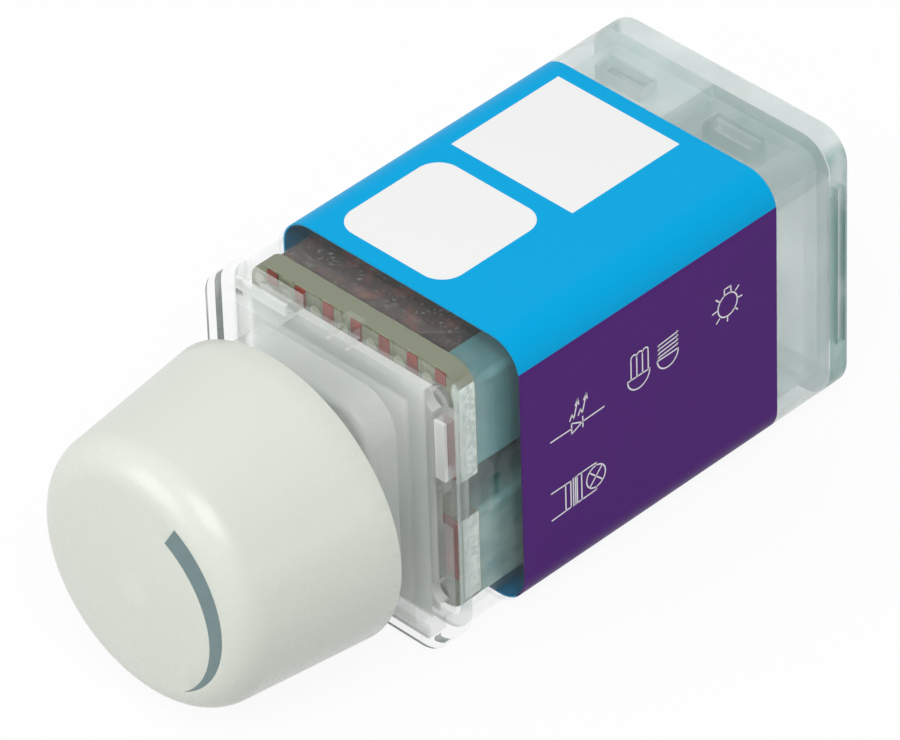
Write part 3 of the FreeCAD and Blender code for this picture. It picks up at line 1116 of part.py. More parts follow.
core = new_body("choke_core")
outline = new_sketch(core, role=SIDE)
core_along = about(CHOKE_MIDDLE, "Dim.CoreThickness")
rounded_rectangle(outline, *core_along, *about(RING_RADIUS, CORE_WIDTH), f"({CORE_WIDTH} * Dim.CoreRound)")
ring = core.newObject("PartDesign::Revolution", "choke_ring")
ring.Profile = outline
ring.ReferenceAxis = (outline, ["H_Axis"])
keep("choke_core", core)

choke_wire = value("Dim.ChokeWire") / 2
choke_turns = value("Dim.ChokeTurns")
ring_radius = value(RING_RADIUS)
loop_radius = value(f"({CHOKE_RADIUS} - {CHOKE_BORE}) / 2") - choke_wire
loop_depth = value("Dim.CoreThickness / 2 + Dim.ChokeBow") + choke_wire
choke_middle = value(CHOKE_MIDDLE)
sweep_step = math.radians(value("Dim.ChokeSweep")) / choke_turns


def choke_station(turn):
    """Point and tangent of an oval loop round the core's section that creeps round the ring."""
    angle = 2 * math.pi * turn
    sweep = math.pi / 2 + sweep_step * (turn - choke_turns / 2)
    outward = Vector(math.cos(sweep), 0, math.sin(sweep))
    round_ring = Vector(-math.sin(sweep), 0, math.cos(sweep))
    radius = ring_radius + loop_radius * math.cos(angle)
    point = outward * radius + Vector(0, choke_middle + loop_depth * math.sin(angle), 0)
    motion = outward * (-loop_radius * math.sin(angle)) + Vector(0, loop_depth * math.cos(angle), 0)
    return point, (motion + round_ring * (radius * sweep_step / (2 * math.pi))).normalize()


wound_tube("choke_winding", choke_station, choke_turns, choke_wire)

# Terminals: a brass cage each, with a pressure plate that rides on the tip of its screw

SCREW_END = "(-Dim.ChamberBottom - Dim.ScrewLength)"
CHAMBER_FRONT = f"({POWER_BACK} + Dim.TerminalWall)"
PLATE_LOW = "(Dim.Fit - Dim.ChamberBottom)"

for name, side in (("left", "-"), ("right", "")):
    middle = f"{side}Dim.TerminalSide"
    at = (middle, TERMINAL_MIDDLE)
    cage = block(f"cage_{name}", about(middle, "Dim.TerminalWidth"), (POWER_BACK, TERMINAL_BACK),
                 (f"-{TERMINAL_BOTTOM}", "Dim.TerminalTop"))
    room = block(f"room_{name}", about(middle, "Dim.ChamberWidth"), (CHAMBER_FRONT, HOUSING_BACK),
                 ("-Dim.ChamberBottom", CHAMBER_TOP))
    thread = upright(f"thread_{name}", "Dim.ScrewRadius + Dim.Running", (f"-{OUTER}", PLATE_LOW), at)
    stud_along = (POWER_FRONT, f"{POWER_BACK} + Dim.TerminalWall / 2")
    stud = rod(f"stud_{name}", "Dim.StudRadius", stud_along, (middle, "-Dim.WireDrop"))
    keep(f"terminal_{name}", fuse(f"terminal_{name}", [cut(f"body_{name}", cage, [room, thread]), stud]))
    plate_up = (PLATE_LOW, f"{PLATE_LOW} + Dim.PressureThickness")
    plate_along = (f"{CHAMBER_FRONT} + Dim.Running", f"{CHAMBER_FRONT} + Dim.Running + Dim.PressureLength")
    plate_across = wider(about(middle, "Dim.ChamberWidth"), "-Dim.Running")
    plate = block(f"plate_{name}", plate_across, plate_along, plate_up)
    tip_top = "(Dim.ScrewTipLength - Dim.ChamberBottom)"
    pivot_up = (SCREW_END, f"{tip_top} + Dim.Running")
    pivot = upright(f"pivot_{name}", "Dim.ScrewTip + Dim.Running", pivot_up, at)
    keep(f"pressure_plate_{name}", cut(f"pressure_plate_{name}", plate, [pivot]))
    stem = upright(f"stem_{name}", "Dim.ScrewRadius", (SCREW_END, "-Dim.ChamberBottom"), at)
    point = upright(f"point_{name}", "Dim.ScrewTip", (SCREW_END, tip_top), at)
    blade_up = (f"-2 * {OUTER}", f"{SCREW_END} + Dim.ScrewSlotDepth")
    blade_along = about(TERMINAL_MIDDLE, "Dim.ScrewSlot")
    blade = block(f"blade_{name}", about(middle, "4 * Dim.ScrewRadius"), blade_along, blade_up)
    screw = fuse(f"screw_{name}", [stem, point])
    keep(f"terminal_screw_{name}", cut(f"terminal_screw_{name}", screw, [blade]))

# Every object is sound before anything is written

doc.recompute()
for item in doc.Objects:
    if "Invalid" in item.State or "Error" in item.State:
        raise RuntimeError(f"{item.Name} failed: {item.State}")
for label, item in parts.items():
    shape = item.Shape
    if shape.isNull() or not shape.isValid() or not shape.Solids:
        raise RuntimeError(f"{label} has no sound shape")
for label, item in parts.items():
    item.Shape.exportStep(f"parts/{label}.step")
    box = item.Shape.optimalBoundingBox()
    spans = ", ".join(f"{low:.2f} to {high:.2f}" for low, high in
                      ((box.XMin, box.XMax), (box.YMin, box.YMax), (box.ZMin, box.ZMax)))
    print(f"{label}: {len(item.Shape.Solids)} solids, volume {item.Shape.Volume:.1f}, spans {spans}")
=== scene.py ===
"""Looks of the rotary dimmer: a clear square module with a two-colour label and a push-and-turn knob.

Metres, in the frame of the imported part: the shaft runs along Y, the knob points to -Y, and +Z is the
side with the broad face of the label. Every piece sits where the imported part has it.
"""
import math

import bpy
from mathutils import Matrix, Vector


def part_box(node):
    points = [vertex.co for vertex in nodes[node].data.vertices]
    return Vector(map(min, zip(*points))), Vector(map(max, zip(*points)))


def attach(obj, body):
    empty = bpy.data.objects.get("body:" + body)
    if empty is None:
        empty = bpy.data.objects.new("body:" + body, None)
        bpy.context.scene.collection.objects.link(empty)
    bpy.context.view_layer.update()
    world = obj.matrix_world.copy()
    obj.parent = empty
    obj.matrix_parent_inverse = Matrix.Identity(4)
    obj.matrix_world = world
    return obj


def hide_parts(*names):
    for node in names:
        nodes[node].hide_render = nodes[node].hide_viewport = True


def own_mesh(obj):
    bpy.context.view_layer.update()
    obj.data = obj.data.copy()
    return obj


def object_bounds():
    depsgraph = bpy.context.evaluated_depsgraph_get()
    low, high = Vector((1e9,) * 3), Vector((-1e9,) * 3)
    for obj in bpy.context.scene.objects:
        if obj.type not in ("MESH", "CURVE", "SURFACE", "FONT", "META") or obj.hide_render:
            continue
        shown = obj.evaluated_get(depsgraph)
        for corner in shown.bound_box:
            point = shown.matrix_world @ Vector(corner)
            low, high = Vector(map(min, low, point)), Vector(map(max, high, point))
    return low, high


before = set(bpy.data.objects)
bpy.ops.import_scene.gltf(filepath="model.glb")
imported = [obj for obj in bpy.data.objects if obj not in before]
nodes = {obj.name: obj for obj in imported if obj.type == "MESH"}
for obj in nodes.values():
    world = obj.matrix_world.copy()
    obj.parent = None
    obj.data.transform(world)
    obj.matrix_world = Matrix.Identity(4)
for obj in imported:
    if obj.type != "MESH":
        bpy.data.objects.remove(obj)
cad_low, cad_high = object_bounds()
bpy.ops.object.select_all(action="DESELECT")

# Main housing: the square tube that everything goes into, with wire mouths and screw access at its rear.
# Injection-moulded polycarbonate, clear at the front, hazy green-grey towards the rear, and darker on the
# right half of its rear top. Its edges are rounded by a tenth of a millimetre, which catches the light.

CLEAR_TINT = (0.77, 0.88, 0.86, 1)
CLEAR_HAZE = (0.58, 0.75, 0.73, 1)
CLEAR_SHADE = (0.34, 0.48, 0.46, 1)
CLEAR_IOR = 1.46
FRONT_ALPHA = 0.03
HAZE_ALPHA = 0.42
CLOUD_ALPHA = 0.07
SHADE_SIDE = 0.0004
SHADE_TOP = 0.0085
SHADE_FROM = 0.031
SHADE_SHARE = 0.8
FRONT_RIM = 0.0029
GLINT_ALPHA = 0.35
HAZE_FROM = 0.009
HAZE_TO = 0.034
MIX_FACTOR, MIX_A, MIX_B, MIX_RESULT = 0, 6, 7, 2
MOULD_EDGE = 0.00011
SAME_POINT = 0.000001
FLAT_ANGLE = math.radians(1)
EDGE_ANGLE = math.radians(35)


class Wire:
    """A socket in a material. Arithmetic on it adds Math nodes, and node adds any other kind."""

    def __init__(self, tree, socket):
        self.tree = tree
        self.socket = socket

    def node(self, kind, settings, inputs, output=0):
        """Add a node, make its settings, fill its inputs with values or wires, and give an output."""
        made = self.tree.nodes.new("ShaderNode" + kind)
        for name, setting in settings.items():
            setattr(made, name, setting)
        for name, filling in inputs.items():
            if isinstance(filling, Wire):
                self.tree.links.new(filling.socket, made.inputs[name])
            else:
                made.inputs[name].default_value = filling
        return Wire(self.tree, made.outputs[output])

    def math(self, operation, first, second=0.0):
        return self.node("Math", {"operation": operation}, {0: first, 1: second})

    def __add__(self, other):
        return self.math("ADD", self, other)

    __radd__ = __add__

    def __sub__(self, other):
        return self.math("SUBTRACT", self, other)

    def __rsub__(self, other):
        return self.math("SUBTRACT", other, self)

    def __mul__(self, other):
        return self.math("MULTIPLY", self, other)

    __rmul__ = __mul__

    def __truediv__(self, other):
        return self.math("DIVIDE", self, other)

    def __pow__(self, other):
        return self.math("POWER", self, other)

    def __gt__(self, other):
        return self.math("GREATER_THAN", self, other)

    def __lt__(self, other):
        return self.math("LESS_THAN", self, other)

    def __abs__(self):
        return self.math("ABSOLUTE", self)

    def most(self, other):
        return self.math("MAXIMUM", self, other)

    def least(self, other):
        return self.math("MINIMUM", self, other)

    def ping_pong(self, reach):
        """This value folded to run from 0 to reach and back, again and again."""
        return self.math("PINGPONG", self, reach)

    def mix(self, low, high):
        """The colour that is low where this value is 0 and high where it is 1."""
        inputs = {MIX_FACTOR: self, MIX_A: low, MIX_B: high}
        return self.node("Mix", {"data_type": "RGBA"}, inputs, MIX_RESULT)

    def step(self, low, high):
        """0 below low, 1 above high and smooth between."""
        inputs = {"Value": self, "From Min": low, "From Max": high}
        return self.node("MapRange", {"interpolation_type": "SMOOTHSTEP"}, inputs)

    def part(self, axis):
        """X, Y or Z of a place."""
        return self.node("SeparateXYZ", {}, {0: self}, axis)

    def noise(self, size, detail=2.0, stretch=(1, 1, 1)):
        """Noise of a grain size in metres, drawn out along the axes whose stretch is under 1."""
        place = self.node("VectorMath", {"operation": "MULTIPLY"}, {0: self, 1: stretch})
        return self.node("TexNoise", {}, {"Vector": place, "Scale": 1 / size, "Detail": detail})

    def bump(self, height):
        """Normal of a surface whose height, in metres, is this value times height."""
        return self.node("Bump", {}, {"Height": self, "Distance": height})


class Finish:
    """A material with one Principled shader: plain values go in at once, wires with feed."""

    def __init__(self, name, **values):
        self.material = bpy.data.materials.new(name)
        self.material.use_nodes = True
        self.tree = self.material.node_tree
        self.shader = self.tree.nodes["Principled BSDF"]
        for socket, setting in values.items():
            self.shader.inputs[socket.replace("_", " ")].default_value = setting
        self.place = Wire(self.tree, self.tree.nodes.new("ShaderNodeTexCoord").outputs["Object"])

    def feed(self, **wires):
        for socket, wire in wires.items():
            self.tree.links.new(wire.socket, self.shader.inputs[socket.replace("_", " ")])

    def coat(self, *names):
        """Give CAD nodes this material."""
        for name in names:
            nodes[name].material_slots[0].material = self.material


def soften_edges(width, *names, domed=False):
    """Round the sharp edges of CAD nodes with modifiers, which leave their own mesh as it is.

    Facets in one plane are joined first, and a domed piece keeps all of them.
    """
    for name in names:
        weld = nodes[name].modifiers.new("Weld", "WELD")
        weld.merge_threshold = SAME_POINT
        if not domed:
            planes = nodes[name].modifiers.new("Planes", "DECIMATE")
            planes.decimate_type = "DISSOLVE"
            planes.angle_limit = FLAT_ANGLE
        edges = nodes[name].modifiers.new("Edges", "BEVEL")
        edges.width = width
        edges.segments = 2
        edges.limit_method = "ANGLE"
        edges.angle_limit = EDGE_ANGLE
        edges.harden_normals = True


clear = Finish("clear_plastic", Transmission_Weight=0.4, IOR=CLEAR_IOR)
cloud = clear.place.noise(0.004, 3)
clear_x, clear_y, clear_z = (clear.place.part(axis) for axis in range(3))
haze = clear_y.step(HAZE_FROM, HAZE_TO)
shade = (clear_x > SHADE_SIDE) * (clear_z > SHADE_TOP) * (clear_y > SHADE_FROM)
hazed = cloud.step(0.35, 0.8).mix(CLEAR_TINT, CLEAR_HAZE)
glint = GLINT_ALPHA * (clear_y < FRONT_RIM)
clear.feed(Base_Color=(SHADE_SHARE * shade).mix(hazed, CLEAR_SHADE),
           Roughness=0.05 + 0.08 * clear.place.noise(0.0016, 4),
           Alpha=FRONT_ALPHA + HAZE_ALPHA * haze + CLOUD_ALPHA * cloud + glint,
           Normal=clear.place.noise(0.0035, 1).bump(0.00003))
clear.coat("main_housing")
soften_edges(MOULD_EDGE, "main_housing")

# Front cover: a clear plate with a raised boss round the shaft, and two legs that snap into the housing.
# The same polycarbonate. Its face is slightly milky from handling, and its rim and legs are left glossy.
# Along its left and lower edges two dark green lines show where one looks along the thick plastic.

COVER_TINT = (0.92, 0.95, 0.93, 1)
COVER_HAZE = (0.82, 0.88, 0.85, 1)
COVER_GREEN = (0.13, 0.20, 0.18, 1)
SIDE_RIM = 0.0079
TOP_RIM = 0.0095
RIM_BLEND = 0.0005
FACE_ALPHA = 0.36
RIM_ALPHA = 0.03
SMEAR_ALPHA = 0.07
EDGE_LINE = 0.0106
EDGE_BLEND = 0.0002
FRONT_LINE = 0.0004
BACK_LINE = (0.0011, 0.0017)
GREEN_ALPHA = 0.8

cover = Finish("cover_plastic", IOR=CLEAR_IOR)
smear = cover.place.noise(0.005, 4)
grain = cover.place.noise(0.0006, 3)
cover_x, cover_y, cover_z = (cover.place.part(axis) for axis in range(3))
side_rim = abs(cover_x).step(SIDE_RIM, SIDE_RIM + RIM_BLEND)
rim = side_rim.most(abs(cover_z).step(TOP_RIM, TOP_RIM + RIM_BLEND))
edge_line = (0 - cover_x).most(0 - cover_z).step(EDGE_LINE, EDGE_LINE + EDGE_BLEND)
back_line = (cover_y > BACK_LINE[0]) * (cover_y < BACK_LINE[1])
green = edge_line * (cover_y < FRONT_LINE).most(back_line) * smear.step(0.0, 0.5)
cover.feed(Base_Color=green.mix(smear.step(0.35, 0.75).mix(COVER_TINT, COVER_HAZE), COVER_GREEN),
           Roughness=0.06 + 0.12 * grain + 0.08 * (1 - rim),
           Alpha=FACE_ALPHA + (RIM_ALPHA - FACE_ALPHA) * rim + SMEAR_ALPHA * smear + GREEN_ALPHA * green,
           Normal=(smear + 0.12 * grain).bump(0.00004))
cover.coat("front_cover")
soften_edges(MOULD_EDGE, "front_cover")

# Rear cap: closes the housing with two tongues that snap into the windows and grooves in its sides.
# The same polycarbonate, moulded thicker, so it looks greener and hazier than the housing, most of all
# along its rear rim.

CAP_TINT = (0.73, 0.86, 0.84, 1)
CAP_HAZE = (0.58, 0.73, 0.71, 1)
CAP_RIM = (0.17, 0.36, 0.32, 1)
CAP_ALPHA = 0.36
SWIRL_ALPHA = 0.16
CAP_RIM_ALPHA = 0.4
CAP_RIM_START = 0.0101
CAP_RIM_FULL = 0.0107
RIM_BACK = 0.0374

cap = Finish("cap_plastic", Transmission_Weight=0.4, IOR=CLEAR_IOR)
swirl = cap.place.noise(0.003, 4)
cap_x, cap_y, cap_z = (cap.place.part(axis) for axis in range(3))
cap_edge = cap_x.most(0 - cap_x).most(0 - cap_z).step(CAP_RIM_START, CAP_RIM_FULL)
thick = cap_edge * (cap_y > RIM_BACK) * swirl.step(0.0, 0.55)
cap.feed(Base_Color=thick.mix(swirl.step(0.35, 0.75).mix(CAP_TINT, CAP_HAZE), CAP_RIM),
         Roughness=0.05 + 0.12 * cap.place.noise(0.0012, 4),
         Alpha=CAP_ALPHA + SWIRL_ALPHA * swirl + CAP_RIM_ALPHA * thick,
         Normal=cap.place.noise(0.0028, 2).bump(0.00004))
cap.coat("rear_cap")
soften_edges(MOULD_EDGE, "rear_cap")

# Carrier: the plate inside the cover, with four catches for the board and pegs that it stands off on.
# The same plastic as the case, but moulded against a sandblasted tool, so it scatters the light. Its
# catches are polished clear, and their front and back faces are made paler as a painted highlight.

FROST_TINT = (0.94, 0.97, 0.94, 1)
FROST_SHADE = (0.86, 0.91, 0.87, 1)
CLEAR_BESIDE = 0.0079
CLEAR_ABOVE = 0.0095
CLEAR_BLEND = 0.0003
FROST_ALPHA = 0.98
TOP_SHADE_FROM = 0.004
TOP_SHADE_TO = 0.009
TOP_SHADE_ALPHA = 0.3
CATCH_ALPHA = 0.18
CATCH_FRONT = 0.00095
CATCH_BACK = 0.00295
PAINTED_HIGHLIGHT_ALPHA = 0.42

frost = Finish("frosted_plastic", IOR=CLEAR_IOR)
frost_grain = frost.place.noise(0.0008, 3)
frost_x, frost_y, frost_z = (frost.place.part(axis) for axis in range(3))
catch = abs(frost_x).step(CLEAR_BESIDE, CLEAR_BESIDE + CLEAR_BLEND)
catch = catch.most(abs(frost_z).step(CLEAR_ABOVE, CLEAR_ABOVE + CLEAR_BLEND))
reach = abs(frost_x).most(abs(frost_z))
# Painted highlight: the catches' front and back faces are made more opaque, so they look pale.
painted_highlight = (frost_y < CATCH_FRONT).most(frost_y > CATCH_BACK) * (reach > CLEAR_ABOVE)
# Painted shade: the plate is made more see-through towards its top, which darkens it there.
frost_alpha_with_painted_shade = FROST_ALPHA - TOP_SHADE_ALPHA * frost_z.step(TOP_SHADE_FROM, TOP_SHADE_TO)
frost.feed(Base_Color=frost.place.noise(0.003, 4).mix(FROST_SHADE, FROST_TINT),
           Roughness=0.1 + (0.25 + 0.2 * frost_grain) * (1 - catch),
           Alpha=catch * (CATCH_ALPHA + PAINTED_HIGHLIGHT_ALPHA * painted_highlight) + (1 - catch) * frost_alpha_with_painted_shade,
           Normal=(frost.place.noise(0.00025, 2) * (1 - catch)).bump(0.00001))
frost.coat("carrier_plate")
soften_edges(MOULD_EDGE, "carrier_plate")

# Control board and power board: glass-fibre laminate pressed from woven cloth, then sawn.
# Its faces have green-brown lacquer with bare round test points, painted pale as a highlight on them, and
# its sawn edges are pale and speckled.

LACQUER = (0.20, 0.225, 0.15, 1)
LACQUER_LIGHT = (0.30, 0.32, 0.23, 1)
SAWN = (0.22, 0.235, 0.17, 1)
SAWN_SIDE = (0.58, 0.66, 0.62, 1)
SAWN_SPECK = (0.80, 0.87, 0.82, 1)
TEST_POINT_HIGHLIGHT = (0.50, 0.55, 0.42, 1)
SAWN_SKIN = 0.00006
CONTROL_FACES = (0.0032, 0.0048)
POWER_FACES = (0.0226, 0.0242)
SIDE_EDGE = 0.0095
PAD_SHIFT = 0.0003
PAD_PITCH = 0.0026
POINT_LEVEL = 0.0089
POINT_RADIUS = 0.0005
CONTROL_MIDDLE = 0.004

laminate = Finish("board_laminate", IOR=1.5)
board_x, board_y, board_z = (laminate.place.part(axis) for axis in range(3))
weave = laminate.place.noise(0.0004, 2, (1, 1, 0.2)) + laminate.place.noise(0.0004, 2, (0.2, 1, 1))
fibres = laminate.place.noise(0.00035, 3)


def between_faces(faces):
    """1 on the sawn edges of the board that has these faces, and 0 on the faces."""
    return (board_y > faces[0] + SAWN_SKIN) * (board_y < faces[1] - SAWN_SKIN)


sawn = between_faces(CONTROL_FACES).most(between_faces(POWER_FACES))
sawn_colour = (abs(board_x) > SIDE_EDGE).mix(SAWN, fibres.step(0.4, 0.62).mix(SAWN_SIDE, SAWN_SPECK))
from_pad = abs((board_x - PAD_SHIFT).ping_pong(PAD_PITCH / 2) - PAD_PITCH / 2)
from_row = abs(board_z - POINT_LEVEL)
# The round test points are real, and their pale colour is a painted highlight.
point = (from_pad * from_pad + from_row * from_row) < POINT_RADIUS * POINT_RADIUS
lacquered = weave.step(0.8, 1.25).mix(LACQUER, LACQUER_LIGHT)
face_colour = (point * (board_y < CONTROL_MIDDLE)).mix(lacquered, TEST_POINT_HIGHLIGHT)
laminate.feed(Base_Color=sawn.mix(face_colour, sawn_colour),
              Roughness=0.3 + 0.1 * weave + 0.3 * sawn,
              Normal=(weave + fibres * sawn).bump(0.000012))
laminate.coat("control_board", "power_board")

# Copper on the board's front: the row of pads along its top edge and the rails down its sides.
# Etched from the foil on the laminate and covered with red lacquer, which is browner in places.

COPPER_RED = (0.36, 0.045, 0.032, 1)
COPPER_BROWN = (0.24, 0.045, 0.035, 1)

copper = Finish("board_copper", Metallic=0.2, Coat_Weight=0.4)
copper.feed(Base_Color=copper.place.noise(0.0009, 4).step(0.35, 0.7).mix(COPPER_RED, COPPER_BROWN),
            Roughness=0.3 + 0.25 * copper.place.noise(0.0004, 3),
            Normal=copper.place.noise(0.0003, 2).bump(0.000006))
copper.coat("board_copper")

# Film capacitors: two wound blocks dipped in teal epoxy, on the right of the board.
# The dip is glossy and uneven, and the lower block is paler towards its bottom as painted light.

TEAL = (0.12, 0.31, 0.32, 1)
TEAL_PAINTED_LIGHT = (0.33, 0.48, 0.43, 1)
TEAL_POOL = (0.08, 0.21, 0.22, 1)
LIGHT_BELOW = 0.002
LIGHT_REACH = 0.009

teal = Finish("teal_epoxy", Coat_Weight=0.5, Coat_Roughness=0.12)
runs = teal.place.noise(0.002, 4, (1, 0.5, 1))
# Painted light: the lower block is paler towards its bottom.
painted_light = (LIGHT_BELOW - teal.place.part(2)).step(0.0, LIGHT_REACH)
teal.feed(Base_Color=runs.step(0.3, 0.8).mix(painted_light.mix(TEAL, TEAL_PAINTED_LIGHT), TEAL_POOL),
          Roughness=0.3 + 0.2 * teal.place.noise(0.0006, 3),
          Normal=teal.place.noise(0.0014, 3).bump(0.00006))
teal.coat("film_capacitor_upper", "film_capacitor_lower")
soften_edges(MOULD_EDGE, "film_capacitor_upper", "film_capacitor_lower")

# Bridge rectifier: the broad flat package behind the board's top, moulded in grainy maroon-black epoxy.
# The moulding compound shows reddish blotches and paler grains of its filler.

MAROON = (0.058, 0.030, 0.026, 1)
MAROON_BLOTCH = (0.17, 0.052, 0.042, 1)
FILLER = (0.20, 0.21, 0.17, 1)

maroon = Finish("maroon_epoxy")
blotch = maroon.place.noise(0.0019, 3).step(0.5, 0.68)
filler = maroon.place.noise(0.00028, 2).step(0.6, 0.7)
maroon.feed(Base_Color=filler.mix(blotch.mix(MAROON, MAROON_BLOTCH), FILLER),
            Roughness=0.5 + 0.2 * maroon.place.noise(0.0005, 3),
            Normal=maroon.place.noise(0.0003, 4).bump(0.00002))
maroon.coat("bridge_rectifier")
soften_edges(MOULD_EDGE, "bridge_rectifier")

# Transistors, control chip and chip resistors: transfer-moulded in black epoxy with a fine matt grain.
# They are soldered to the back of the control board.

CHIP_BLACK = (0.018, 0.018, 0.020, 1)
CHIP_GREY = (0.045, 0.045, 0.048, 1)
CHIP_EDGE = 0.00005

chip = Finish("chip_epoxy")
chip.feed(Base_Color=chip.place.noise(0.00022, 3).step(0.45, 0.7).mix(CHIP_BLACK, CHIP_GREY),
          Roughness=0.48 + 0.2 * chip.place.noise(0.0006, 3),
          Normal=chip.place.noise(0.00012, 3).bump(0.000008))
chip.coat("transistor_upper", "transistor_lower", "controller_chip", "chip_resistors")
soften_edges(CHIP_EDGE, "transistor_upper", "transistor_lower", "controller_chip")

# Rotary control and push switch: black moulded cases, with a white rotor and plunger. The control's back
# is punched from brown paper laminate, and its carbon track is screen-printed on it and worn to a shine
# where the wiper runs.

CASE_BLACK = (0.022, 0.022, 0.024, 1)
CASE_SCUFF = (0.060, 0.058, 0.056, 1)
PAPER_BROWN = (0.26, 0.115, 0.04, 1)
PAPER_DARK = (0.13, 0.05, 0.018, 1)
ROTOR_WHITE = (0.72, 0.72, 0.68, 1)
ROTOR_SHADE = (0.60, 0.60, 0.56, 1)
CARBON = (0.012, 0.012, 0.013, 1)
CARBON_WORN = (0.07, 0.07, 0.075, 1)
TRACK_RADIUS = 0.0036
WORN_INNER = 0.0001
WORN_OUTER = 0.0005

case = Finish("case_plastic")
case.feed(Base_Color=case.place.noise(0.0011, 5).step(0.55, 0.8).mix(CASE_BLACK, CASE_SCUFF),
          Roughness=0.35 + 0.25 * case.place.noise(0.0009, 3),
          Normal=case.place.noise(0.0002, 3).bump(0.000006))
case.coat("rotary_case", "switch_case")
soften_edges(MOULD_EDGE, "rotary_case", "switch_case")

paper = Finish("brown_laminate", IOR=1.5)
fibre = paper.place.noise(0.0005, 4, (0.25, 1, 1))
paper.feed(Base_Color=fibre.step(0.35, 0.7).mix(PAPER_BROWN, PAPER_DARK),
           Roughness=0.4 + 0.25 * fibre,
           Normal=fibre.bump(0.00001))
paper.coat("rotary_back")

acetal = Finish("white_plastic", Subsurface_Weight=0.1, Subsurface_Scale=0.0006)
acetal.feed(Base_Color=acetal.place.noise(0.0018, 3).mix(ROTOR_SHADE, ROTOR_WHITE),
            Roughness=0.32 + 0.16 * acetal.place.noise(0.0006, 3),
            Normal=acetal.place.noise(0.0004, 3).bump(0.000006))
acetal.coat("rotor", "switch_plunger")

track = Finish("carbon_track")
track_x, track_z = track.place.part(0), track.place.part(2)
from_path = abs((track_x * track_x + track_z * track_z) ** 0.5 - TRACK_RADIUS)
worn = (1 - from_path.step(WORN_INNER, WORN_OUTER)) * track.place.noise(0.0007, 4)
track.feed(Base_Color=worn.mix(CARBON, CARBON_WORN),
           Roughness=0.65 - 0.3 * worn,
           Normal=track.place.noise(0.00015, 3).bump(0.000008))
track.coat("resistance_track")

# Brass: the turned shaft, the stamped wiper, contacts and pins, and the two terminal cages.
# Drawn or rolled metal with fine lines along the part, slightly tarnished where it isn't rubbed.

BRASS = (0.72, 0.50, 0.20, 1)
BRASS_TARNISH = (0.42, 0.27, 0.11, 1)

brass = Finish("brass", Metallic=1.0)
tarnish = brass.place.noise(0.0016, 4).step(0.4, 0.75)
lines = brass.place.noise(0.00025, 3, (1, 0.05, 1))
brass.feed(Base_Color=tarnish.mix(BRASS, BRASS_TARNISH),
           Roughness=0.2 + 0.22 * tarnish + 0.12 * lines,
           Normal=lines.bump(0.000005))
brass.coat("shaft", "wiper", "contact_bridge", "switch_contacts", "link_pins",
           "terminal_left", "terminal_right")
soften_edges(MOULD_EDGE, "terminal_left", "terminal_right")

# Steel: the bush, the circlip, the transistors' tabs, the fuse's ends, and the terminals' plates and
# screws. Turned or stamped and zinc-plated, with a cool sheen and a mottled passivation.

ZINC = (0.60, 0.61, 0.62, 1)
ZINC_DULL = (0.42, 0.43, 0.44, 1)
THREAD_PITCH = 0.0006

steel = Finish("steel", Metallic=1.0)
mottle = steel.place.noise(0.0013, 4).step(0.35, 0.7)
scratches = steel.place.noise(0.0002, 3, (1, 0.15, 1))
steel.feed(Base_Color=mottle.mix(ZINC, ZINC_DULL),
           Roughness=0.22 + 0.2 * mottle + 0.1 * scratches,
           Normal=scratches.bump(0.000005))
steel.coat("shaft_bush", "shaft_clip", "transistor_tabs", "fuse_ends",
           "pressure_plate_left", "pressure_plate_right")

thread = Finish("screw_steel", Metallic=1.0)
ridge = thread.place.part(2).ping_pong(THREAD_PITCH / 2) / (THREAD_PITCH / 2)
thread.feed(Base_Color=(ridge * thread.place.noise(0.001, 3)).step(0.1, 0.6).mix(ZINC_DULL, ZINC),
            Roughness=0.25 + 0.15 * thread.place.noise(0.0005, 3),
            Normal=ridge.bump(0.00015))
thread.coat("terminal_screw_left", "terminal_screw_right")

# Return spring: hard-drawn steel wire in three and a half turns, with ground ends, between shaft and rotor.
# It is cold-wound a little longer than its room, and is flattened as the knob is pressed; here it is one
# fixed shape, cut to its room and carried with the rotor.

SPRING_RADIUS = 0.00252
SPRING_WIRE = 0.00035
SPRING_PITCH = 0.000833
SPRING_FRONT = 0.0075
SPRING_BACK = 0.01035
SPRING_TURNS = 4
WIRE_SIDES = 12
WIRE_STEPS = 32
SPRING_STEEL = (0.50, 0.50, 0.51, 1)
SPRING_BLUE = (0.33, 0.35, 0.40, 1)


def settle():
    """Apply the place, turn and size of the selected object to its mesh."""
    bpy.ops.object.transform_apply(location=True, rotation=True, scale=True)


def sweep_wire(wire, start, axis, turns, rise):
    """Wind a round wire about an axis through the origin, with its ends left open, and give its object."""
    bpy.ops.mesh.primitive_circle_add(vertices=WIRE_SIDES, radius=wire / 2, location=start)
    wound = bpy.context.object
    settle()
    screw = wound.modifiers.new("Wind", "SCREW")
    screw.axis = axis
    screw.angle = turns * 2 * math.pi
    screw.screw_offset = rise
    screw.steps = round(turns * WIRE_STEPS)
    screw.render_steps = screw.steps
    bpy.ops.object.modifier_apply(modifier=screw.name)
    return wound


def close_wire():
    """Close a wound wire's ends and point its faces outwards."""
    bpy.ops.mesh.select_all(action="SELECT")
    bpy.ops.mesh.remove_doubles(threshold=SAME_POINT)
    bpy.ops.mesh.fill_holes(sides=0)
    bpy.ops.mesh.normals_make_consistent(inside=False)


spring_start = (SPRING_RADIUS, SPRING_FRONT - SPRING_WIRE, 0)
spring = sweep_wire(SPRING_WIRE, spring_start, "Y", SPRING_TURNS, SPRING_TURNS * SPRING_PITCH)
spring.name = "return_spring_wire"
bpy.ops.object.mode_set(mode="EDIT")
close_wire()
bpy.ops.mesh.select_all(action="SELECT")
bpy.ops.mesh.bisect(plane_co=(0, SPRING_FRONT, 0), plane_no=(0, 1, 0), use_fill=True, clear_inner=True)
bpy.ops.mesh.select_all(action="SELECT")
bpy.ops.mesh.bisect(plane_co=(0, SPRING_BACK, 0), plane_no=(0, 1, 0), use_fill=True, clear_outer=True)
close_wire()
bpy.ops.object.mode_set(mode="OBJECT")
bpy.ops.object.shade_smooth_by_angle(angle=EDGE_ANGLE)

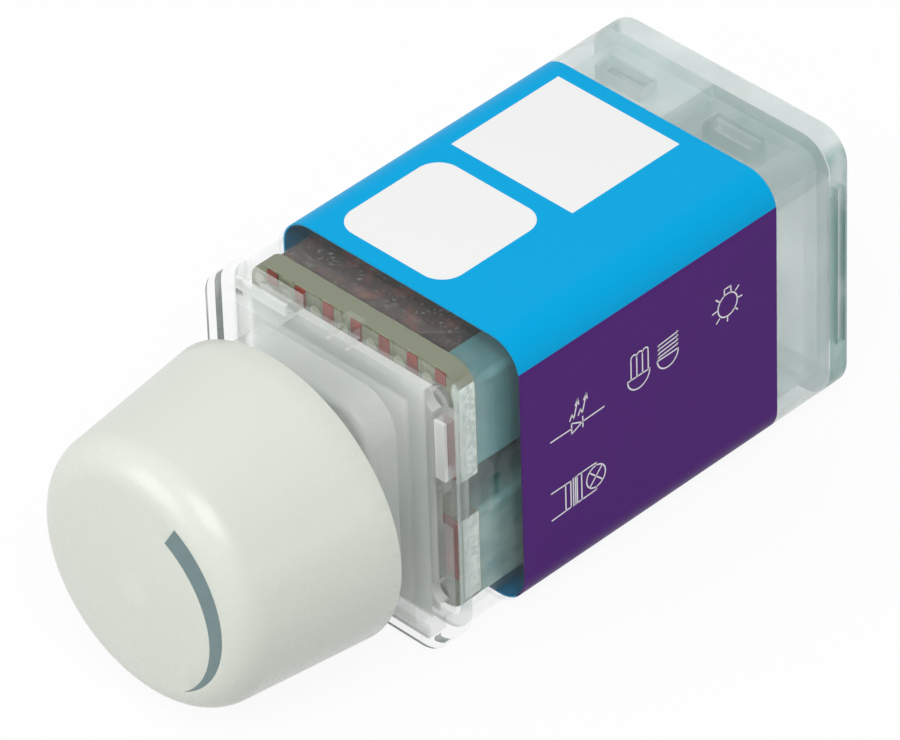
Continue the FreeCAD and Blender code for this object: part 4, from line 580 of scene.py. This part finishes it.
drawn = Finish("spring_steel", Metallic=1.0)
drawn.feed(Base_Color=drawn.place.noise(0.0014, 3).step(0.35, 0.7).mix(SPRING_STEEL, SPRING_BLUE),
           Roughness=0.24 + 0.14 * drawn.place.noise(0.0003, 3),
           Normal=drawn.place.noise(0.00012, 2).bump(0.000003))
spring.data.materials.append(drawn.material)
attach(spring, "rotor")
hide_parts("return_spring")
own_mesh(spring)
spring.select_set(False)

# Electrolytic capacitor: an aluminium can on the power board, in a shrunk dark sleeve.
# The sleeve has a pale stripe down one side and is drawn over the rim, and the vent's cross shows on top.

SLEEVE = (0.020, 0.026, 0.045, 1)
SLEEVE_SHEEN = (0.04, 0.05, 0.08, 1)
STRIPE = (0.42, 0.44, 0.46, 1)
CAN_METAL = (0.62, 0.63, 0.64, 1)
CAN_SIDE = -0.0067
CAN_TOP = 0.0152
CAN_SKIN = 0.0001
CAN_OPENING = 0.0023
VENT_WIDTH = 0.00012
VENT_DEPTH = 4
STRIPE_LEFT = -0.009

can = Finish("can_sleeve")
can_x, can_z = can.place.part(0) - CAN_SIDE, can.place.part(2) - CAN_SIDE
bare = ((can_x * can_x + can_z * can_z) ** 0.5 < CAN_OPENING) * (can.place.part(1) < CAN_TOP + CAN_SKIN)
vent = (abs(can_x).least(abs(can_z)) < VENT_WIDTH) * bare
stripe = (can.place.part(0) < STRIPE_LEFT) * (1 - bare)
sleeve = can.place.noise(0.0015, 3).mix(SLEEVE, SLEEVE_SHEEN)
can.feed(Base_Color=bare.mix(stripe.mix(sleeve, STRIPE), CAN_METAL),
         Metallic=bare,
         Roughness=0.25 + 0.2 * can.place.noise(0.0008, 3),
         Normal=(can.place.noise(0.0008, 2) - VENT_DEPTH * vent).bump(0.00002))
can.coat("electrolytic_capacitor")
soften_edges(MOULD_EDGE, "electrolytic_capacitor")

# Fuse: a glass tube between plated steel ends, soldered to the power board by its leads.
# Drawn glass, with faint streaks along it and a very smooth surface.

GLASS_TINT = (0.86, 0.92, 0.90, 1)
GLASS_STREAK = (0.74, 0.82, 0.80, 1)

glass = Finish("fuse_glass", Transmission_Weight=0.9, IOR=1.5)
glass.feed(Base_Color=glass.place.noise(0.001, 2, (1, 1, 0.2)).mix(GLASS_TINT, GLASS_STREAK),
           Roughness=0.02 + 0.05 * glass.place.noise(0.0008, 2),
           Alpha=0.3 + 0.1 * glass.place.noise(0.0012, 2))
glass.coat("fuse_tube")

# Surge disc: a pressed zinc-oxide disc that stands on the power board on two leads.
# It is dipped in blue epoxy, which dries to a slightly wavy, half-glossy skin.

SURGE_BLUE = (0.03, 0.09, 0.26, 1)
SURGE_DEEP = (0.015, 0.045, 0.15, 1)

surge = Finish("blue_epoxy", Coat_Weight=0.3, Coat_Roughness=0.15)
surge.feed(Base_Color=surge.place.noise(0.0012, 4).step(0.35, 0.75).mix(SURGE_BLUE, SURGE_DEEP),
           Roughness=0.35 + 0.15 * surge.place.noise(0.0005, 3),
           Normal=surge.place.noise(0.0004, 3).bump(0.00003))
surge.coat("surge_disc")
soften_edges(MOULD_EDGE, "surge_disc")

# Choke: a pressed ferrite ring with ten and a half turns of enamelled copper wire wound on by hand.
# Both ends of the wire lead straight back into the power board, one through the ring and one beside it.

FERRITE = (0.040, 0.040, 0.042, 1)
FERRITE_GRAIN = (0.10, 0.10, 0.105, 1)
CHOKE_WIRE = 0.0005
CHOKE_LOOP = 0.00163
CHOKE_RING = 0.00349
CHOKE_TURNS = 10.5
CHOKE_SWEEP = math.radians(336)
CHOKE_MIDDLE = 0.0204
CHOKE_DEEPER = 1.15
CHOKE_LEAD = 0.00221
ENAMEL = (0.62, 0.19, 0.07, 1)
ENAMEL_DARK = (0.40, 0.10, 0.04, 1)

ferrite = Finish("ferrite")
ferrite.feed(Base_Color=ferrite.place.noise(0.0003, 4).step(0.5, 0.75).mix(FERRITE, FERRITE_GRAIN),
             Roughness=0.55 + 0.2 * ferrite.place.noise(0.0008, 3),
             Normal=ferrite.place.noise(0.00025, 3).bump(0.00002))
ferrite.coat("choke_core")

choke_rise = CHOKE_RING * CHOKE_SWEEP - CHOKE_WIRE
winding = sweep_wire(CHOKE_WIRE, (0, CHOKE_LOOP, 0), "X", CHOKE_TURNS, choke_rise)
winding.name = "choke_wire"
curl = winding.modifiers.new("Curl", "SIMPLE_DEFORM")
curl.deform_method = "BEND"
curl.deform_axis = "Z"
curl.angle = CHOKE_SWEEP
bpy.ops.object.modifier_apply(modifier=curl.name)
bpy.ops.object.mode_set(mode="EDIT")
close_wire()
bpy.ops.mesh.select_all(action="SELECT")
bpy.ops.transform.resize(value=(1, 1, CHOKE_DEEPER), center_override=(0, 0, 0))
bpy.ops.mesh.select_all(action="DESELECT")
bpy.ops.mesh.select_mode(type="FACE")
bpy.ops.object.mode_set(mode="OBJECT")
for face in winding.data.polygons:
    face.select = len(face.vertices) == WIRE_SIDES
bpy.ops.object.mode_set(mode="EDIT")
bpy.ops.mesh.extrude_region_move(TRANSFORM_OT_translate={"value": (0, 0, -CHOKE_LEAD)})
bpy.ops.mesh.select_all(action="SELECT")
bpy.ops.mesh.normals_make_consistent(inside=False)
bpy.ops.mesh.select_mode(type="VERT")
bpy.ops.object.mode_set(mode="OBJECT")
centred = Matrix.Rotation(math.pi - CHOKE_SWEEP / 2, 4, "Z") @ Matrix.Translation((0, -CHOKE_RING, 0))
upright = Matrix.Translation((0, CHOKE_MIDDLE, 0)) @ Matrix.Rotation(math.pi / 2, 4, "X")
winding.matrix_world = upright @ centred
settle()
bpy.ops.object.shade_smooth_by_angle(angle=EDGE_ANGLE)

enamel = Finish("enamelled_wire", Metallic=0.85, Coat_Weight=0.6, Coat_Roughness=0.1)
enamel.feed(Base_Color=enamel.place.noise(0.0009, 4).step(0.35, 0.7).mix(ENAMEL, ENAMEL_DARK),
            Roughness=0.2 + 0.2 * enamel.place.noise(0.0005, 3),
            Normal=enamel.place.noise(0.0002, 2).bump(0.000004))
winding.data.materials.append(enamel.material)
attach(winding, "housing")
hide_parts("choke_winding")
winding.select_set(False)

# Label: one printed film wrapped round the housing and butted on the left side.
# Cyan, with a purple panel on the right side and two bare white panels on the broad face. The ink lies
# under a satin film that is slightly orange-peeled.

LABEL_CYAN = (0.0, 0.365, 0.71, 1)
LABEL_PURPLE = (0.078, 0.0145, 0.175, 1)
LABEL_WHITE = (0.84, 0.85, 0.84, 1)
PURPLE_SIDE = 0.0101
PURPLE_TOP = 0.0089
SQUARE_PANEL = {"left": -0.00795, "right": 0.00335, "near": 0.02045, "far": 0.0308, "radius": 0}
ROUND_PANEL = {"left": -0.0077, "right": 0.0026, "near": 0.009, "far": 0.0189, "radius": 0.0018}

film = Finish("label_film", Specular_IOR_Level=0.06)
across, along, up = film.place.part(0), film.place.part(1), film.place.part(2)


def panel(left, right, near, far, radius):
    """1 inside a rounded rectangle on the broad face, and 0 outside it."""
    from_side = (abs(across - (left + right) / 2) - ((right - left) / 2 - radius)).most(0)
    from_end = (abs(along - (near + far) / 2) - ((far - near) / 2 - radius)).most(0)
    if radius == 0:
        return (from_side + from_end) < SAME_POINT
    return (from_side * from_side + from_end * from_end) < radius * radius


purple = (across > PURPLE_SIDE) * (up < PURPLE_TOP)
white = (up > 0) * panel(**SQUARE_PANEL).most(panel(**ROUND_PANEL))
film.feed(Base_Color=white.mix(purple.mix(LABEL_CYAN, LABEL_PURPLE), LABEL_WHITE),
          Roughness=0.32 + 0.12 * film.place.noise(0.0012, 3),
          Normal=film.place.noise(0.0006, 2).bump(0.000004))
film.coat("wrap_label")

# Symbols on the label's right side: the kinds of lamp that the dimmer may feed, in plain line drawing.
# Screen-printed in white ink over the purple. Each stroke is drawn flat, in millimetres along the
# housing and up, and the whole print is then set on the film.

MILLIMETRE = 0.001
STROKE = 0.11
INK_THICKNESS = 0.02
INK_SINK = 0.012
ROUND_SIDES = 48
INK_WHITE = (0.80, 0.79, 0.82, 1)
INK_THIN = (0.58, 0.54, 0.64, 1)


def draw_line(*places):
    """Straight strokes from place to place."""
    for (x0, y0), (x1, y1) in zip(places, places[1:]):
        middle = ((x0 + x1) / 2, (y0 + y1) / 2, 0)
        turned = (0, 0, math.atan2(y1 - y0, x1 - x0))
        bpy.ops.mesh.primitive_plane_add(size=1, location=middle, rotation=turned)
        bpy.context.object.scale = (math.hypot(x1 - x0, y1 - y0) + STROKE / 2, STROKE, 1)
        drawn_strokes.append(bpy.context.object)


def draw_ring(centre, radius, kept=None):
    """Round stroke: an inset disc without its middle. kept is the direction of the half that stays."""
    bpy.ops.mesh.primitive_circle_add(vertices=ROUND_SIDES, radius=radius + STROKE / 2, fill_type="NGON",
                                      location=(*centre, 0))
    drawn_strokes.append(bpy.context.object)
    bpy.ops.object.mode_set(mode="EDIT")
    bpy.ops.mesh.select_mode(type="FACE")
    bpy.ops.mesh.select_all(action="SELECT")
    bpy.ops.mesh.inset(thickness=STROKE)
    bpy.ops.mesh.delete(type="FACE")
    if kept:
        bpy.ops.mesh.select_all(action="SELECT")
        bpy.ops.mesh.bisect(plane_co=(*centre, 0), plane_no=(*kept, 0), clear_inner=True)
    bpy.ops.mesh.select_mode(type="VERT")
    bpy.ops.object.mode_set(mode="OBJECT")


drawn_strokes = []

# Diode with two arrows of light
draw_line((10.2, 1.68), (12.2, 1.68))
draw_line((12.2, 2.12), (12.2, 1.24), (13.2, 1.68), (12.2, 2.12))
draw_line((13.26, 2.12), (13.26, 1.24))
draw_line((13.26, 1.70), (15.3, 1.76))
for shift, lift in ((0.0, 0.0), (0.81, 0.02)):
    draw_line((12.04 + shift, 2.42 + lift), (12.25 + shift, 2.84 + lift), (12.43 + shift, 2.42 + lift),
              (12.82 + shift, 3.80 + lift))
    draw_line((12.58 + shift, 3.42 + lift), (12.84 + shift, 3.88 + lift), (12.90 + shift, 3.36 + lift))

# Folded tube lamp
draw_line((17.55, 2.43), (19.72, 2.43))
draw_ring((18.63, 2.43), 1.06, kept=(0, -1))
for left in (17.91, 18.46, 19.01):
    draw_line((left, 2.43), (left, 4.12))
    draw_ring((left + 0.275, 4.12), 0.275, kept=(0, 1))
draw_line((19.56, 2.43), (19.56, 4.12))

# Spiral tube lamp
draw_line((20.42, 2.55), (22.46, 2.55))
draw_ring((21.44, 2.55), 1.01, kept=(0, -1))
for rise in (2.86, 3.20, 3.54, 3.88):
    draw_line((20.62, rise - 0.16), (20.48, rise - 0.08), (22.46, rise + 0.08), (22.32, rise + 0.16))

# Bulb with its socket and rays
draw_ring((27.27, 3.42), 0.94)
draw_line((26.96, 4.30), (26.96, 4.86), (27.60, 4.86), (27.60, 4.30))
draw_line((26.51, 4.04), (26.15, 4.42))
draw_line((26.25, 3.43), (25.79, 3.39))
draw_line((26.49, 2.68), (26.17, 2.40))
draw_line((27.26, 2.42), (27.24, 2.04))
draw_line((27.92, 2.83), (28.24, 2.49))
draw_line((28.25, 3.46), (28.67, 3.44))
draw_line((28.04, 4.21), (28.37, 4.46))

# Transformer that feeds a lamp
draw_line((10.15, -2.66), (12.0, -2.66), (12.0, -4.86), (10.15, -4.96))
draw_line((11.5, -2.66), (11.5, -4.86))
draw_line((12.24, -2.56), (12.24, -4.90))
draw_line((12.44, -2.56), (12.44, -4.90))
draw_line((14.43, -2.78), (14.43, -2.52), (12.6, -2.54), (12.6, -4.86), (14.41, -4.80), (14.40, -4.52))
draw_line((13.03, -2.54), (13.03, -4.86))
draw_ring((14.4, -3.65), 0.9)
draw_line((13.80, -3.05), (15.0, -4.25))
draw_line((14.98, -3.03), (13.82, -4.27))

bpy.ops.object.select_all(action="DESELECT")
for stroke in drawn_strokes:
    stroke.select_set(True)
symbols = drawn_strokes[0]
bpy.context.view_layer.objects.active = symbols
bpy.ops.object.join()
symbols.name = "label_symbols"
settle()
ink_depth = symbols.modifiers.new("Ink", "SOLIDIFY")
ink_depth.thickness = INK_THICKNESS
ink_depth.offset = 1
bpy.ops.object.modifier_apply(modifier=ink_depth.name)
side_on = Matrix(((0, 0, 1, 0), (1, 0, 0, 0), (0, 1, 0, 0), (0, 0, 0, 1)))
ink_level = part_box("wrap_label")[1].x - INK_SINK * MILLIMETRE
symbols.matrix_world = Matrix.Translation((ink_level, 0, 0)) @ Matrix.Scale(MILLIMETRE, 4) @ side_on
settle()
bpy.ops.object.mode_set(mode="EDIT")
bpy.ops.mesh.select_all(action="SELECT")
bpy.ops.mesh.normals_make_consistent(inside=False)
bpy.ops.object.mode_set(mode="OBJECT")

ink = Finish("white_ink")
ink.feed(Base_Color=ink.place.noise(0.0006, 4).step(0.62, 0.8).mix(INK_WHITE, INK_THIN),
         Roughness=0.4 + 0.15 * ink.place.noise(0.0004, 3))
symbols.data.materials.append(ink.material)
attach(symbols, "housing")
symbols.select_set(False)

# Knob: a domed shell moulded in warm white plastic, satin, with a grey crescent let into its face.
# It is pressed on the shaft's flat, and its skirt turns just in front of the cover.

KNOB_WHITE = (0.665, 0.70, 0.635, 1)
KNOB_CREAM = (0.635, 0.665, 0.59, 1)
POINTER_GREY = (0.130, 0.195, 0.200, 1)
POINTER_LIGHT = (0.160, 0.230, 0.235, 1)
KNOB_EDGE = 0.00005

shell = Finish("knob_plastic", IOR=1.5, Specular_IOR_Level=0.5)
shell.feed(Base_Color=shell.place.noise(0.006, 3).mix(KNOB_CREAM, KNOB_WHITE),
           Roughness=0.25 + 0.05 * shell.place.noise(0.0015, 2))
shell.coat("knob")
soften_edges(KNOB_EDGE, "knob", domed=True)

pointer = Finish("pointer_plastic", IOR=1.5)
pointer.feed(Base_Color=pointer.place.noise(0.0008, 3).mix(POINTER_GREY, POINTER_LIGHT),
             Roughness=0.4 + 0.15 * pointer.place.noise(0.0005, 3),
             Normal=pointer.place.noise(0.0003, 2).bump(0.000003))
pointer.coat("knob_pointer")

# Studio: a pale floor under the part, a white sky that the clear plastic shows, and three soft lamps:
# above, to the front left and to the right. The floor and sky look white but throw less light than that.

FLOOR_COLOUR = (0.50, 0.50, 0.50, 1)
FLOOR_SIZE = 4.0
FLOOR_GLOW = 0.85
GLOW_STRENGTH = 1.08
SKY_LIGHT = 0.62

bpy.ops.mesh.primitive_plane_add(size=FLOOR_SIZE, location=(0, 0, cad_low.z))
floor = bpy.context.object
floor.name = "floor"


def seen_directly(tree):
    """1 for rays that show a surface to the camera, or in gloss or glass, and 0 for those that light."""
    rays = tree.nodes.new("ShaderNodeLightPath")
    camera, glossy, through = (Wire(tree, rays.outputs[name]) for name in
                               ("Is Camera Ray", "Is Glossy Ray", "Is Transmission Ray"))
    return camera.most(glossy).most(through)


pale = bpy.data.materials.new("pale_floor")
pale.use_nodes = True
tree = pale.node_tree
tree.nodes["Principled BSDF"].inputs["Base Color"].default_value = FLOOR_COLOUR
tree.nodes["Principled BSDF"].inputs["Roughness"].default_value = 0.9
tree.nodes["Principled BSDF"].inputs["Specular IOR Level"].default_value = 0.0
glow = tree.nodes.new("ShaderNodeEmission")
glow.inputs["Strength"].default_value = GLOW_STRENGTH
mixed = tree.nodes.new("ShaderNodeMixShader")
tree.links.new((seen_directly(tree) * FLOOR_GLOW).socket, mixed.inputs["Fac"])
tree.links.new(tree.nodes["Principled BSDF"].outputs[0], mixed.inputs[1])
tree.links.new(glow.outputs[0], mixed.inputs[2])
tree.links.new(mixed.outputs[0], tree.nodes["Material Output"].inputs["Surface"])
floor.data.materials.append(pale)

sky = bpy.data.worlds.new("studio")
sky.use_nodes = True
tree = sky.node_tree
tree.nodes["Background"].inputs["Color"].default_value = (1, 1, 1, 1)
strength = seen_directly(tree) * (1 - SKY_LIGHT) + SKY_LIGHT
tree.links.new(strength.socket, tree.nodes["Background"].inputs["Strength"])
bpy.context.scene.world = sky


def soft_lamp(name, place, size, power):
    """Add a square lamp that faces the part."""
    lamp = bpy.data.lights.new(name, "AREA")
    lamp.size = size
    lamp.energy = power
    stand = bpy.data.objects.new(name, lamp)
    facing = Vector(place).to_track_quat("Z", "Y").to_matrix().to_4x4()
    stand.matrix_world = Matrix.Translation(place) @ facing
    bpy.context.scene.collection.objects.link(stand)


soft_lamp("key", place=(0.22, -0.2, 0.41), size=0.3, power=1.15)
soft_lamp("left", place=(-0.22, -0.5, 0.22), size=0.35, power=1.15)
soft_lamp("right", place=(0.54, 0.22, 0.03), size=0.3, power=0.2)

# Camera: where the photograph was taken from, before the knob, to its right and above, with a long lens.
# It stands at a distance from a point on the shaft's axis, and its aim is shifted off that point.

CAMERA_AZIMUTH = math.radians(45.834)
CAMERA_ELEVATION = math.radians(38.441)
CAMERA_ROLL = math.radians(-1.982)
CAMERA_DISTANCE = 0.565865
CAMERA_LENS = 340.0
AIM_ALONG = 0.0075
AIM_RIGHT = 0.003053
AIM_UP = 0.002717

camera = bpy.data.cameras.new("camera")
camera.sensor_fit = "HORIZONTAL"
camera.lens = CAMERA_LENS
camera.clip_start = CAMERA_DISTANCE / 10
camera.clip_end = CAMERA_DISTANCE * 100
viewer = bpy.data.objects.new("camera", camera)
bpy.context.scene.collection.objects.link(viewer)
turn = Matrix.Rotation(CAMERA_AZIMUTH, 3, "Z") @ Matrix.Rotation(math.pi / 2 - CAMERA_ELEVATION, 3, "X")
turn = turn @ Matrix.Rotation(CAMERA_ROLL, 3, "Z")
aim = Vector((0, AIM_ALONG, 0)) + turn @ Vector((AIM_RIGHT, AIM_UP, CAMERA_DISTANCE))
viewer.matrix_world = Matrix.Translation(aim) @ turn.to_4x4()
bpy.context.scene.camera = viewer
bpy.context.scene.view_settings.view_transform = "Standard"
